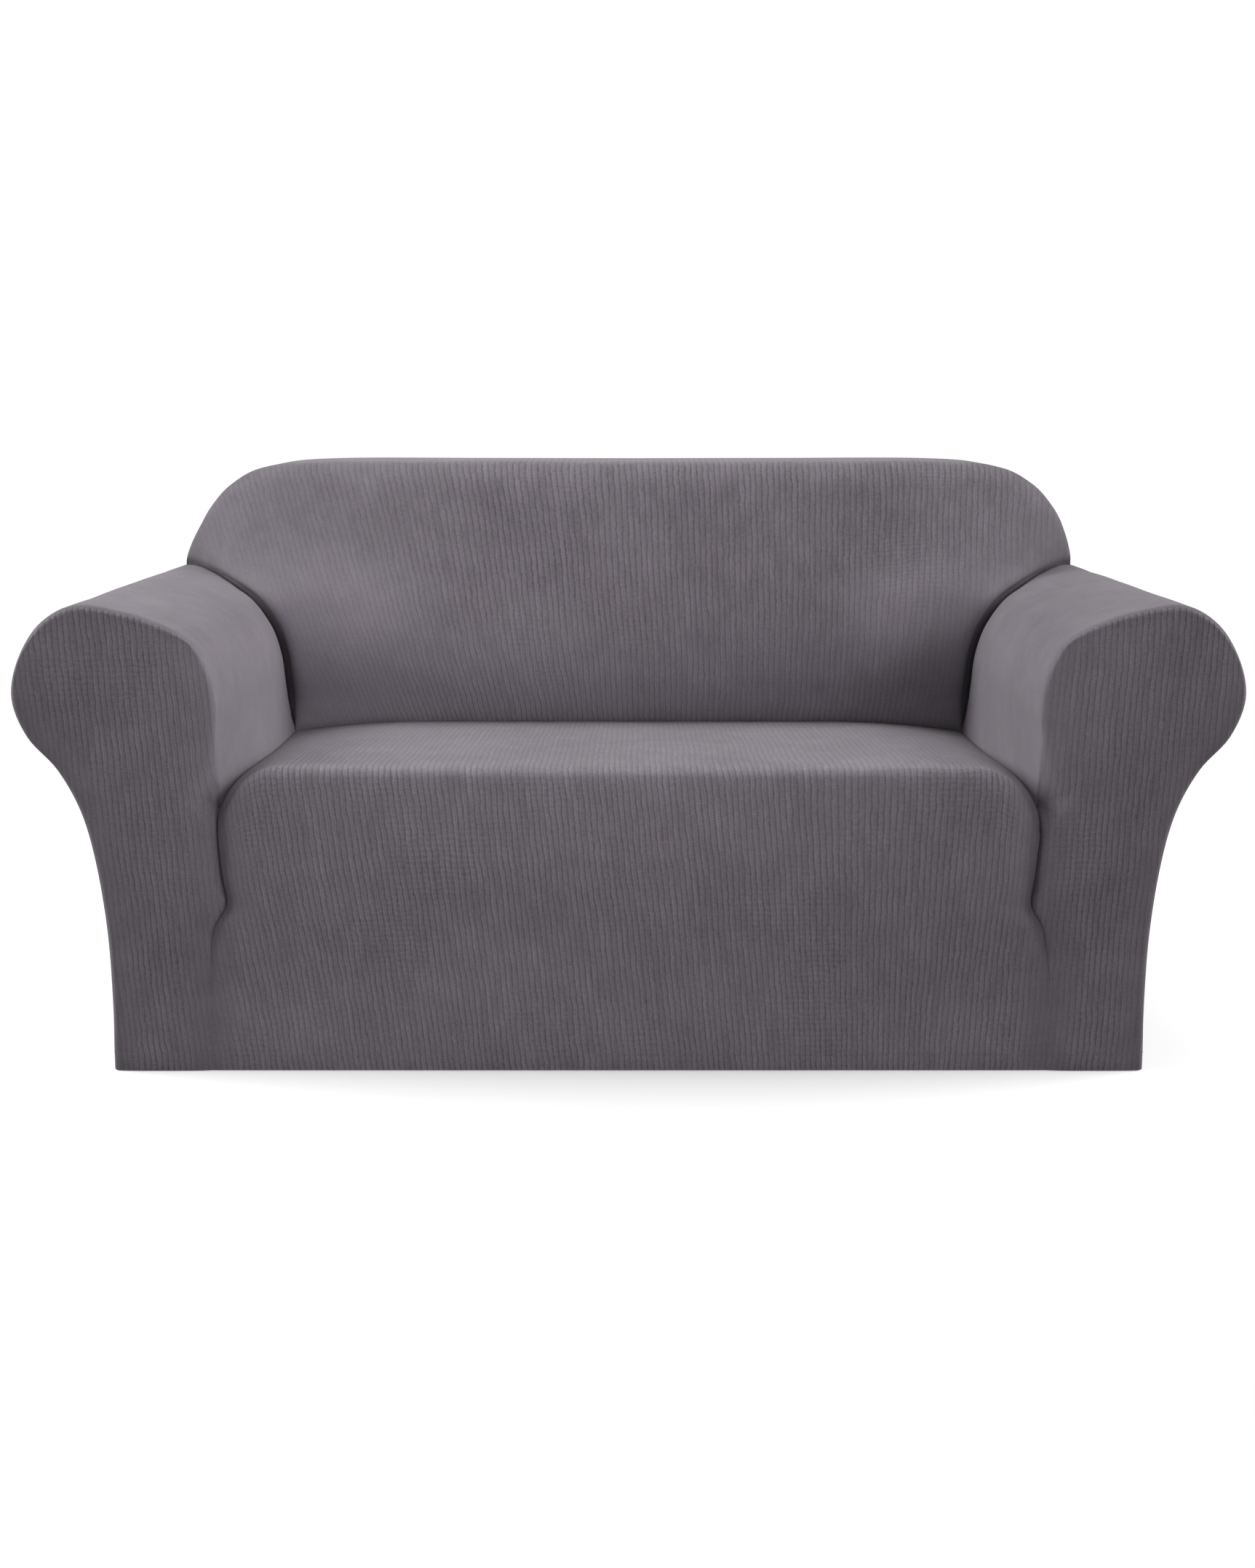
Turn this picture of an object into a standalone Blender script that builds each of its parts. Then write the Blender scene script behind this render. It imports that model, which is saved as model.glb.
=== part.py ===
"""Fitted stretch cover for a two-seater with rolled arms, in the shape that it takes when it is pulled on.

Seven panels of thin cloth, open underneath: the seat with its front skirt, the inside back with its rounded
top, the outside back, two arm wraps and two scroll-shaped arm fronts. The panels meet at seams 0.3 mm wide,
or 0.5 mm beside the seat and the back, where they run side by side down into tucks.

Metres. x runs from the middle to the right, y from the plane of the arm fronts to the rear, and z up from the
ground. The finished panels are then moved so that the origin lies under the middle of the back's top.
"""

import bpy
import numpy as np

# Cloth and seams
CLOTH = 0.002
HEM_CLOTH = 0.003
HEM_TOP = 0.081
SEAM_GAP = 0.0003
MOUTH_GAP = 0.0005
SEAM_ROLL = 0.012
SEAM_DIP = 0.003
MOST_MITRE = 1.5

# Main sizes
REAR = 0.810
ORIGIN = (0.0, 0.725, 0.877)
SHEAR_AT = 0.600

# Cross-section of an arm wrap, from the tuck beside the seat over the roll to the hem
ARM_PROFILE = np.array([
    # x, z
    (0.5725, 0.380),
    (0.5722, 0.402),
    (0.5708, 0.430),
    (0.5659, 0.484),
    (0.5620, 0.525),
    (0.5587, 0.5745),
    (0.5672, 0.622),
    (0.5910, 0.6622),
    (0.6355, 0.688),
    (0.6893, 0.7043),
    (0.7480, 0.7110),
    (0.7960, 0.685),
    (0.8280, 0.636),
    (0.8395, 0.583),
    (0.8215, 0.530),
    (0.7830, 0.484),
    (0.7545, 0.425),
    (0.7380, 0.350),
    (0.7280, 0.250),
    (0.7265, 0.150),
    (0.7285, 0.080),
    (0.7290, 0.052),
])
RIDGE_ROW = 10
TOP_CORNER_ROWS = (12, 7)
ARM_SLOPE = 0.008
ARM_SLOPE_FROM, ARM_SLOPE_FULL = 0.50, 0.70

# Where the rows of the profile up to the ridge meet the inside back
ARM_AT_BACK = np.array([
    # move: how far the row stands further out at the rear; y: of the back's face; tuck: depth behind it
    # move, y, tuck, front: where the row starts behind the arm front's plane
    (-0.0090, 0.625, 0.035, 0.060),
    (-0.0085, 0.612, 0.035, 0.055),
    (-0.0070, 0.600, 0.035, 0.048),
    (-0.0012, 0.575, 0.034, 0.014),
    (0.0018, 0.548, 0.032, 0.000),
    (0.0062, 0.524, 0.030, 0.000),
    (0.0095, 0.512, 0.028, 0.000),
    (0.0120, 0.512, 0.025, 0.000),
    (0.0070, 0.540, 0.020, 0.000),
    (0.0027, 0.600, 0.012, 0.000),
    (0.0000, 0.660, 0.008, 0.000),
])

# Seat and front skirt, from the tuck at the back over the front edge to the hem
SEAT_ROWS = np.array([
    # y and z in the middle, y and z at the sides, width of the rounding at the sides
    (0.575, 0.4525, 0.6000, 0.4310, 0.240),
    (0.500, 0.4590, 0.5200, 0.4310, 0.200),
    (0.400, 0.4670, 0.4200, 0.4330, 0.165),
    (0.300, 0.4745, 0.3200, 0.4380, 0.135),
    (0.200, 0.4810, 0.2200, 0.4430, 0.115),
    (0.120, 0.4855, 0.1400, 0.4445, 0.105),
    (0.060, 0.4885, 0.0800, 0.4400, 0.100),
    (0.025, 0.4905, 0.0500, 0.4325, 0.095),
    (0.000, 0.4905, 0.0300, 0.4225, 0.090),
    (-0.0115, 0.4860, 0.0180, 0.4110, 0.085),
    (-0.0170, 0.4740, 0.0125, 0.3980, 0.080),
    (-0.0185, 0.4450, 0.0100, 0.3880, 0.074),
    (-0.018, 0.3940, 0.0100, 0.3720, 0.066),
    (-0.018, 0.3600, 0.0100, 0.3500, 0.058),
    (-0.017, 0.3250, 0.0100, 0.3250, 0.050),
    (-0.014, 0.3000, 0.0100, 0.3000, 0.045),
    (-0.0125, 0.2860, 0.0090, 0.2860, 0.042),
    (-0.0095, 0.2700, 0.0070, 0.2700, 0.040),
    (-0.006, 0.2540, 0.0060, 0.2540, 0.036),
    (-0.004, 0.2300, 0.0050, 0.2300, 0.030),
    (0.000, 0.1800, 0.0030, 0.1800, 0.024),
    (0.000, 0.1150, 0.0030, 0.1150, 0.018),
    (0.000, 0.0800, 0.0030, 0.0800, 0.018),
    (0.000, 0.0520, 0.0030, 0.0520, 0.018),
])
CORNER_ROW = 8

# The S-shaped groove between the skirt and the arm fronts, from its top to the hem
GROOVE = np.array([
    # z, x on the left, x on the right, depth of the arm front's cloth in it
    (0.4225, 0.5708, 0.5708, 0.000),
    (0.411, 0.5706, 0.5706, 0.006),
    (0.398, 0.5700, 0.5700, 0.010),
    (0.388, 0.5695, 0.5705, 0.012),
    (0.350, 0.5680, 0.5675, 0.012),
    (0.325, 0.5655, 0.5655, 0.012),
    (0.300, 0.5608, 0.5618, 0.011),
    (0.286, 0.5630, 0.5632, 0.010),
    (0.270, 0.5735, 0.5730, 0.009),
    (0.254, 0.5805, 0.5790, 0.008),
    (0.230, 0.5830, 0.5835, 0.008),
    (0.180, 0.5860, 0.5900, 0.008),
    (0.115, 0.5880, 0.5900, 0.008),
    (0.052, 0.5900, 0.5910, 0.008),
])

# How the tuck beside the seat turns from behind the seat, down beside it, to behind its front corner
SEAT_TUCKS = np.array([
    # row of SEAT_ROWS, direction in y and z, depth
    (0, 0.75, -0.66, 0.035),
    (1, 0.35, -0.94, 0.032),
    (2, 0.00, -1.00, 0.030),
    (6, 0.00, -1.00, 0.030),
    (7, 0.20, -0.98, 0.026),
    (8, 0.50, -0.87, 0.022),
    (9, 0.80, -0.60, 0.018),
    (10, 0.98, -0.20, 0.014),
    (11, 1.00, 0.00, 0.013),
    (15, 1.00, 0.00, 0.011),
    (18, 1.00, 0.00, 0.009),
    (23, 1.00, 0.00, 0.008),
])
BACK_TUCK = np.array([0.0, 0.7507, -0.6606])
BACK_TUCK_SIDE = np.array([0.0, 0.6606, 0.7507])
TUCK_STEPS = (0.35, 1.0)

# Outline of the back seen from the front, from the arm's ridge to the middle of the top
BACK_OUTLINE = np.array([
    # x, z
    (0.7480, 0.7098),
    (0.7470, 0.7280),
    (0.7320, 0.7625),
    (0.7080, 0.8040),
    (0.6700, 0.8435),
    (0.6130, 0.8720),
    (0.5000, 0.8795),
    (0.2500, 0.8795),
    (0.0000, 0.8790),
])
OUTLINE_Y = (0.660, 0.640)
BACK_SHIFT = 0.0055

# Section of the inside back in the middle, from the seat to the outline
BACK_MIDDLE = np.array([
    # share of the height, y, z
    (0.000, 0.575, 0.4525),
    (0.100, 0.548, 0.4870),
    (0.220, 0.525, 0.5300),
    (0.360, 0.513, 0.5850),
    (0.500, 0.515, 0.6450),
    (0.620, 0.525, 0.7000),
    (0.740, 0.540, 0.7550),
    (0.850, 0.557, 0.8100),
    (0.930, 0.573, 0.8500),
    (0.975, 0.596, 0.8725),
    (1.000, 0.640, 0.8790),
])
BACK_MOUTH = 0.020
BACK_SIDE_ROLL = 0.035
TOP_ROWS_Y = (0.735, 0.798)

# Edges that roll over to a seam: distance before the seam's plane, and how far the cloth has drawn in
EDGE_ROLL = np.array([(0.0, 0.0040), (0.004, 0.0015), (0.012, 0.0)])
ARM_FRONT_CROWN = 0.008
BUTTED_ROWS = (2, 3)

# For each point of an arm front's inner edge, the place on its outer edge that it's joined to
OUTER_STEPS = (
    0, 1, 1.5, 2, 2.5, 2.75, 3, 3.25, 3.5, 3.75, 4, 4.2, 4.4, 4.6, 4.75, 4.9,
    5, 6, 6.5, 7, 8, 9, 10, 11, 12, 12.5, 13,
)
OUTSIDE_CROWN = 0.006

# Shares of the width at which the seat, the back and the outside back have their columns
HALF_ACROSS = (0, 0.006, 0.020, 0.045, 0.08, 0.12, 0.15, 0.18, 0.21, 0.25, 0.30, 0.35, 0.40, 0.45, 0.5)
ACROSS = np.array(HALF_ACROSS + tuple(1 - share for share in HALF_ACROSS[-2::-1]))
STRAIGHT_TOP = HALF_ACROSS.index(0.21)

CLOTH_COLOUR = (0.118, 0.107, 0.122)


def through(table, places):
    """Points on a smooth curve through a table's rows; places are row numbers, with fractions."""
    places = np.asarray(places, float)
    start = np.clip(np.floor(places).astype(int), 0, len(table) - 2)
    t = (places - start)[:, None]
    before = table[np.maximum(start - 1, 0)]
    after = table[np.minimum(start + 2, len(table) - 1)]
    first = table[start]
    second = table[start + 1]
    bend = 2 * before - 5 * first + 4 * second - after
    twist = 3 * (first - second) + after - before
    return 0.5 * (2 * first + (second - before) * t + bend * t**2 + twist * t**3)


def along(points, places):
    """Points on the straight runs between points; places are their numbers, with fractions."""
    points = np.asarray(points, float)
    places = np.asarray(places, float)
    columns = [np.interp(places, np.arange(len(points)), column) for column in points.T]
    return np.stack(columns, axis=-1)


def shares(points):
    """How far along its curve each point lies, from 0 to 1."""
    steps = np.linalg.norm(np.diff(points, axis=0), axis=1)
    reached = np.concatenate([[0.0], np.cumsum(steps)])
    return reached / reached[-1]


def left_normals(line):
    """Normals to the left of a line in x and z, longer at its corners so that an offset stays parallel."""
    runs = np.diff(line, axis=0)
    runs /= np.linalg.norm(runs, axis=1)[:, None]
    turned = np.stack([-runs[:, 1], runs[:, 0]], axis=1)
    before = np.vstack([turned[:1], turned])
    after = np.vstack([turned, turned[-1:]])
    middle = before + after
    middle /= np.linalg.norm(middle, axis=1)[:, None]
    return middle / (middle * after).sum(axis=1)[:, None]


def sunk(distance, width):
    """How far a rounded edge has sunk, from 1 at the edge to 0 where its rounding ends."""
    across = np.clip(1 - np.asarray(distance) / width, 0, 1)
    return 1 - np.sqrt(1 - across**2)


def sloped(distance, width):
    """The same for an edge that slopes down, and doesn't turn in."""
    return np.clip(1 - np.asarray(distance) / width, 0, 1) ** 2


def patch(bottom, top, left, right, u, v):
    """A surface between four curves: its rows follow bottom and top, and its columns left and right."""
    u = u[None, :, None]
    v = v[:, None, None]
    between_ends = (1 - v) * bottom[None] + v * top[None]
    between_sides = (1 - u) * left[:, None] + u * right[:, None]
    corners = (1 - v) * ((1 - u) * left[0] + u * right[0]) + v * ((1 - u) * left[-1] + u * right[-1])
    return between_ends + between_sides - corners


def edges_of(faces):
    """The edges of faces, each as the two points in the order in which its face runs through them."""
    return {(face[i - 1], face[i]) for face in faces for i in range(len(face))}


class Panel:
    """The outer points and faces of one panel, which become a closed solid as thick as the cloth."""

    def __init__(self):
        self.points = []
        self.faces = []
        self.given_normals = {}

    def add(self, block):
        block = np.asarray(block, float)
        first = len(self.points)
        self.points.extend(block.reshape(-1, 3))
        return first + np.arange(block.size // 3).reshape(block.shape[:-1])

    def fill(self, table):
        """Adds triangles between the rows and columns of a table of point numbers; -1 leaves cells out.

        They are turned round together where they don't run on from the faces that are there already.
        """
        cells = []
        for near, far in zip(table[:-1], table[1:]):
            for a, b, c, d in zip(near[:-1], near[1:], far[1:], far[:-1]):
                corners = list(dict.fromkeys((int(a), int(b), int(c), int(d))))
                if min(corners) >= 0 and len(corners) > 2:
                    cells += self.split(corners)
        if edges_of(cells) & edges_of(self.faces):
            cells = [cell[::-1] for cell in cells]
        self.faces += cells

    def split(self, corners):
        """Two triangles for a cell of four points, cut along the shorter way across."""
        if len(corners) == 3:
            return [corners]
        a, b, c, d = corners
        points = self.points
        if np.linalg.norm(points[a] - points[c]) <= np.linalg.norm(points[b] - points[d]):
            return [[a, b, c], [a, c, d]]
        return [[a, b, d], [b, c, d]]

    def normals(self, points):
        """Normals at the points, weighted by angle, and longer on folds so that the thickness stays."""
        corners = points[np.array(self.faces)]
        sums = np.zeros_like(points)
        weights = np.zeros(len(points))
        for i in range(3):
            one = corners[:, (i + 1) % 3] - corners[:, i]
            other = corners[:, (i + 2) % 3] - corners[:, i]
            across = np.cross(one, other)
            area = np.linalg.norm(across, axis=1)
            angle = np.arctan2(area, (one * other).sum(axis=1))
            np.add.at(sums, [face[i] for face in self.faces], across * (angle / area)[:, None])
            np.add.at(weights, [face[i] for face in self.faces], angle)
        size = np.linalg.norm(sums, axis=1)
        return sums * (np.minimum(weights / size, MOST_MITRE) / size)[:, None]

    def solid(self, name, direction, roughness):
        """Closes the panel: its faces, the same faces on the inner side, and a rim along every free edge."""
        points = np.array(self.points)
        if self.normals(points).sum(axis=0) @ np.asarray(direction, float) < 0:
            self.faces = [face[::-1] for face in self.faces]
        normals = self.normals(points)
        for number, normal in self.given_normals.items():
            normals[number] = normal
        thickness = np.where(points[:, 2] < HEM_TOP, HEM_CLOTH, CLOTH)[:, None]
        inner = points - normals * thickness

        count = len(points)
        faces = self.faces + [[corner + count for corner in face[::-1]] for face in self.faces]
        edges = edges_of(self.faces)
        for a, b in sorted(edges):
            if (b, a) not in edges:
                faces.append([b, a, a + count, b + count])
        mesh = bpy.data.meshes.new(name)
        mesh.from_pydata((np.vstack([points, inner]) - ORIGIN).tolist(), [], faces)
        mesh.validate()
        mesh.shade_smooth()
        mesh.set_sharp_from_angle(angle=np.radians(50))
        mesh.materials.append(cloth_material(name, roughness))
        panel = bpy.data.objects.new(name, mesh)
        bpy.context.scene.collection.objects.link(panel)


def cloth_material(name, roughness):
    material = bpy.data.materials.new(name)
    material.use_nodes = True
    shader = material.node_tree.nodes["Principled BSDF"]
    shader.inputs["Base Color"].default_value = (*CLOTH_COLOUR, 1.0)
    shader.inputs["Roughness"].default_value = roughness
    shader.inputs["Metallic"].default_value = 0.0
    material.diffuse_color = (*CLOTH_COLOUR, 1.0)
    return material


# The arm's section, drawn through its table. Two cells to a row on the roll and one on the flat of the wall
FLAT_WALL_ROW = 16
ARM_PLACES = np.concatenate([
    [0.0, 1.0],
    np.arange(1.5, FLAT_WALL_ROW, 0.5),
    np.arange(FLAT_WALL_ROW, len(ARM_PROFILE)),
])
ARM_LINE = through(ARM_PROFILE, ARM_PLACES)
ARM_NORMALS = left_normals(ARM_LINE)
AT_BACK = along(ARM_AT_BACK, np.minimum(ARM_PLACES, RIDGE_ROW))
MOVE, BACK_Y, TUCK, FRONT = AT_BACK.T
RIDGE = int(np.flatnonzero(ARM_PLACES == RIDGE_ROW)[0])
SEAT_CORNER = 3


def arm_number(row):
    return int(np.flatnonzero(ARM_PLACES == row)[0])


def arm_points(number, y, proud=0.0):
    """Points of the arm wrap on lines of its section, at the depths y, standing proud of it by proud."""
    height = ARM_LINE[number, 1]
    slope = ARM_SLOPE * np.clip((height - ARM_SLOPE_FROM) / (ARM_SLOPE_FULL - ARM_SLOPE_FROM), 0, 1)
    x = ARM_LINE[number, 0] + MOVE[number] * y / SHEAR_AT + ARM_NORMALS[number, 0] * proud
    z = height - slope * y + ARM_NORMALS[number, 1] * proud
    return np.stack(np.broadcast_arrays(x, y, z), axis=-1)


def arm_wall_x(y, z):
    """x of the arm wrap's inner wall beside the seat."""
    wall = slice(0, arm_number(5) + 1)
    at_front = np.interp(z, ARM_LINE[wall, 1], ARM_LINE[wall, 0])
    return at_front + np.interp(z, ARM_LINE[wall, 1], MOVE[wall]) * y / SHEAR_AT


def back_mouth():
    """How far behind the back's face its sides meet the arms: nothing at the seat and at the ridge."""
    count = RIDGE - SEAT_CORNER
    step = np.arange(count + 1)
    return BACK_MOUTH * np.minimum(1, step / 3) * (1 - (step / count) ** 4)


def mirrored(block, side):
    return np.asarray(block) * (side, 1, 1)


def make_arm_wrap(side, name):
    panel = Panel()
    mouth = back_mouth()
    inward = np.array([0.12, 0.26, 0.42, 0.58, 0.74, 0.88, 1.0])
    behind = np.array([0.705, 0.755])
    rear = np.concatenate([behind, REAR - EDGE_ROLL[::-1, 0]])
    rear_drawn = np.concatenate([np.zeros(len(behind)), EDGE_ROLL[::-1, 1]])
    rows = []
    for number in range(len(ARM_LINE)):
        front = FRONT[number] + EDGE_ROLL[:, 0]
        end = BACK_Y[number]
        if number < RIDGE:
            end += mouth[max(number - SEAT_CORNER, 0)] + TUCK[number] + 0.004
        y = np.concatenate([front, front[-1] + inward * (end - front[-1])])
        drawn = np.concatenate([EDGE_ROLL[:, 1], np.zeros(len(inward))])
        if number >= RIDGE:
            y = np.concatenate([y, rear])
            drawn = np.concatenate([drawn, rear_drawn])
        numbers = panel.add(mirrored(arm_points(number, y, -drawn), side))
        normal = (side * ARM_NORMALS[number, 0], 0.0, ARM_NORMALS[number, 1])
        panel.given_normals[numbers[0]] = normal
        if number >= RIDGE:
            panel.given_normals[numbers[-1]] = normal
        row = np.full(len(front) + len(inward) + len(rear), -1)
        row[:len(numbers)] = numbers
        rows.append(row)
    panel.fill(np.array(rows))
    panel.solid(name, (side, 0, 0.5), 0.9)


def groove_x(z, side):
    return np.interp(z, GROOVE[::-1, 0], GROOVE[::-1, 1 if side < 0 else 2])


def seat_side(side):
    """The seat's edge in the tucks on one side, and the far end of the cloth that goes down into them."""
    y, z = SEAT_ROWS[:, 2], SEAT_ROWS[:, 3]
    number = np.arange(len(SEAT_ROWS))
    beside_arm = number < CORNER_ROW
    x = np.where(beside_arm, arm_wall_x(y, z) - MOUTH_GAP, groove_x(z, side) - SEAM_GAP)
    edge = np.stack([side * x, y, z], axis=1)
    directions = np.stack([np.interp(number, SEAT_TUCKS[:, 0], SEAT_TUCKS[:, i]) for i in (1, 2)], axis=1)
    depth = np.interp(number, SEAT_TUCKS[:, 0], SEAT_TUCKS[:, 3])
    tucks = []
    for step in TUCK_STEPS:
        down = edge.copy()
        down[:, 1:] += directions * (depth * step)[:, None]
        wall = arm_wall_x(down[:, 1], down[:, 2]) - MOUTH_GAP
        down[beside_arm, 0] = side * wall[beside_arm]
        tucks.append(down)
    return edge, tucks


def crease():
    """The line at which the seat meets the back."""
    left, right = seat_side(-1)[0][0], seat_side(1)[0][0]
    x = left[0] + (right[0] - left[0]) * ACROSS
    middle, ends = SEAT_ROWS[0, :2], SEAT_ROWS[0, 2:4]
    sink = sloped(np.minimum(x - left[0], right[0] - x), SEAT_ROWS[0, 4])[:, None]
    return np.column_stack([x, middle + (ends - middle) * sink])


def make_seat_front():
    panel = Panel()
    left, left_tucks = seat_side(-1)
    right, right_tucks = seat_side(1)
    x = left[:, :1] + (right[:, :1] - left[:, :1]) * ACROSS
    sink = sloped(np.minimum(x - left[:, :1], right[:, :1] - x), SEAT_ROWS[:, 4:5])[:, :, None]
    middle, ends = SEAT_ROWS[:, None, :2], SEAT_ROWS[:, None, 2:4]
    points = np.concatenate([x[:, :, None], middle + (ends - middle) * sink], axis=2)
    points[0] -= BACK_TUCK_SIDE * SEAM_GAP
    numbers = panel.add(points)
    panel.fill(numbers)

    # The free edge runs up the left groove, along the back and down the right groove
    edge = np.concatenate([numbers[:0:-1, 0], numbers[0], numbers[1:, -1]])
    strip = [edge]
    for i, step in enumerate(TUCK_STEPS):
        behind = crease() + BACK_TUCK * SEAT_TUCKS[0, 3] * step - BACK_TUCK_SIDE * SEAM_GAP
        behind[0, 0] = left_tucks[i][0, 0]
        behind[-1, 0] = right_tucks[i][0, 0]
        strip.append(panel.add(np.concatenate([left_tucks[i][:0:-1], behind, right_tucks[i][1:]])))
    panel.fill(np.array(strip))
    panel.solid("seat_front", (0, -1, 1), 0.9)


def back_side():
    """The right side of the inside back on the arm: its edge, the face before it, and the tuck behind it."""
    numbers = np.arange(SEAT_CORNER, RIDGE + 1)
    face = arm_points(numbers, BACK_Y[numbers], MOUTH_GAP)
    edge = arm_points(numbers, BACK_Y[numbers] + back_mouth(), MOUTH_GAP)
    corner = crease()[-1]
    face[0] = edge[0] = corner
    turn = np.clip(1 - np.arange(len(numbers)) / 3, 0, 1)[:, None] ** 1.3
    direction = turn * BACK_TUCK + (1 - turn) * (0, 1, 0)
    direction /= np.linalg.norm(direction, axis=1)[:, None]
    tucks = []
    for step in TUCK_STEPS:
        down = edge + direction * TUCK[numbers, None] * step
        on_wall = arm_wall_x(down[:, 1], down[:, 2]) - MOUTH_GAP
        on_roll = arm_points(numbers, down[:, 1], MOUTH_GAP)
        tucks.append(np.where(turn > 0, np.column_stack([on_wall, down[:, 1:]]), on_roll))
    return face, edge, tucks


def back_outline():
    """The back's outline at the columns, from the left ridge over the top to the right one."""
    fine = through(BACK_OUTLINE, np.linspace(0, len(BACK_OUTLINE) - 1, 400))
    fine = np.concatenate([fine * (-1, 1), fine[-2::-1]])
    share = shares(fine)
    line = np.stack([np.interp(ACROSS, share, column) for column in fine.T], axis=1)
    line[:, 0] += BACK_SHIFT * np.clip(np.minimum(ACROSS, 1 - ACROSS) / 0.045, 0, 1)
    lean = np.sin(np.pi * ACROSS) ** 0.5
    y = OUTLINE_Y[0] + (OUTLINE_Y[1] - OUTLINE_Y[0]) * lean
    return line, y


def make_inside_back():
    panel = Panel()
    face, edge, tucks = back_side()
    near_top = (0.4, 0.7, 0.9, 1.0)
    places = np.concatenate([np.arange(len(face) - 1), len(face) - 2 + np.array(near_top)])
    face = along(face, places)
    mouth = along(edge, places)[:, 1] - face[:, 1]
    up = shares(face)
    line, line_y = back_outline()
    outline = np.stack([line[:, 0], line_y, line[:, 1]], axis=1)
    outline[[0, -1]] = mirrored(face[-1], -1), face[-1]
    points = patch(crease(), outline, mirrored(face, -1), face, ACROSS, up)

    # The middle follows its own section, and the sides keep theirs
    middle = np.stack([np.interp(up, BACK_MIDDLE[:, 0], BACK_MIDDLE[:, i]) for i in (1, 2)], axis=1)
    change = middle - points[:, len(ACROSS) // 2, 1:]
    points[:, :, 1:] += change[:, None] * (1 - (2 * ACROSS - 1) ** 4)[None, :, None]
    reach = np.minimum(ACROSS, 1 - ACROSS) * np.ptp(points[:, :, 0], axis=1)[:, None]
    points[:, :, 1] += mouth[:, None] * sunk(reach, BACK_SIDE_ROLL)
    points[0] += BACK_TUCK_SIDE * SEAM_GAP

    # Over the top and the sides to the rear seam
    normals = left_normals(line)
    normals[[0, -1]] = (-1, 0), (1, 0)
    over = []
    first_row = line_y + ARM_AT_BACK[RIDGE_ROW, 2]
    for y in (first_row, *(np.full(len(line), y) for y in TOP_ROWS_Y)):
        over.append(np.stack([outline[:, 0], y, outline[:, 2]], axis=1))
    for distance, drawn in EDGE_ROLL[1::-1]:
        rolled = line - normals * drawn
        over.append(np.stack([rolled[:, 0], np.full(len(line), REAR - distance), rolled[:, 1]], axis=1))
    for row in over:
        row[-1, 2] = row[0, 2] = arm_points(RIDGE, row[0, 1], MOUTH_GAP)[2]
    numbers = panel.add(np.concatenate([points, over]))
    panel.fill(numbers)
    for number, normal in zip(numbers[-1], normals):
        panel.given_normals[number] = (normal[0], 0, normal[1])

    # The cloth that goes down into the tucks joins the side walls where they reach the arms
    last = len(places) - 1
    rim = np.concatenate([numbers[last:0:-1, 0], numbers[0], numbers[1:last + 1, -1]])
    wall = numbers[last + 1]
    strip = [rim]
    for i, step in enumerate(TUCK_STEPS):
        side = along(tucks[i], places)
        behind = crease() + BACK_TUCK * SEAT_TUCKS[0, 3] * step + BACK_TUCK_SIDE * SEAM_GAP
        behind[0, 0], behind[-1, 0] = -side[0, 0], side[0, 0]
        left = panel.add(mirrored(side[last - 1:0:-1], -1))
        across = panel.add(behind)
        right = panel.add(side[1:last])
        strip.append(np.concatenate([wall[:1], left, across, right, wall[-1:]]))
    panel.fill(np.array(strip))
    panel.solid("inside_back", (0, -1, 0), 0.9)


def make_outside_back():
    panel = Panel()
    line, _ = back_outline()
    arm = arm_points(np.arange(len(ARM_LINE) - 1, RIDGE - 1, -1), REAR)[:, ::2]
    outline = np.concatenate([arm * (-1, 1), line[1:-1], arm[::-1]])
    thickness = np.where(outline[:, 1] < HEM_TOP, HEM_CLOTH, CLOTH)
    inset = outline - left_normals(outline) * (thickness + EDGE_ROLL[0, 1] + SEAM_GAP)[:, None]
    inset[[0, -1], 1] = outline[[0, -1], 1]
    rows = len(arm) + STRAIGHT_TOP
    left, right = inset[:rows], inset[:-rows - 1:-1]
    start = ACROSS[STRAIGHT_TOP]
    share = (ACROSS[STRAIGHT_TOP:len(ACROSS) - STRAIGHT_TOP] - start) / (1 - 2 * start)
    flat = left[:, None] + (right - left)[:, None] * share[None, :, None]
    flat[-1] = inset[rows - 1:len(inset) - rows + 1]
    up = (flat[:, :, 1] - flat[0, 0, 1]) / np.ptp(flat[:, :, 1])
    crown = OUTSIDE_CROWN * (1 - (2 * share - 1) ** 4)[None] * (1 - (2 * up - 1) ** 6)
    numbers = panel.add(np.stack([flat[:, :, 0], REAR + crown, flat[:, :, 1]], axis=2))
    panel.fill(numbers)
    for number in np.concatenate([numbers[0], numbers[-1], numbers[:, 0], numbers[:, -1]]):
        panel.given_normals[number] = (0, 1, 0)
    panel.solid("outside_back", (0, 1, 0), 0.9)


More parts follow.
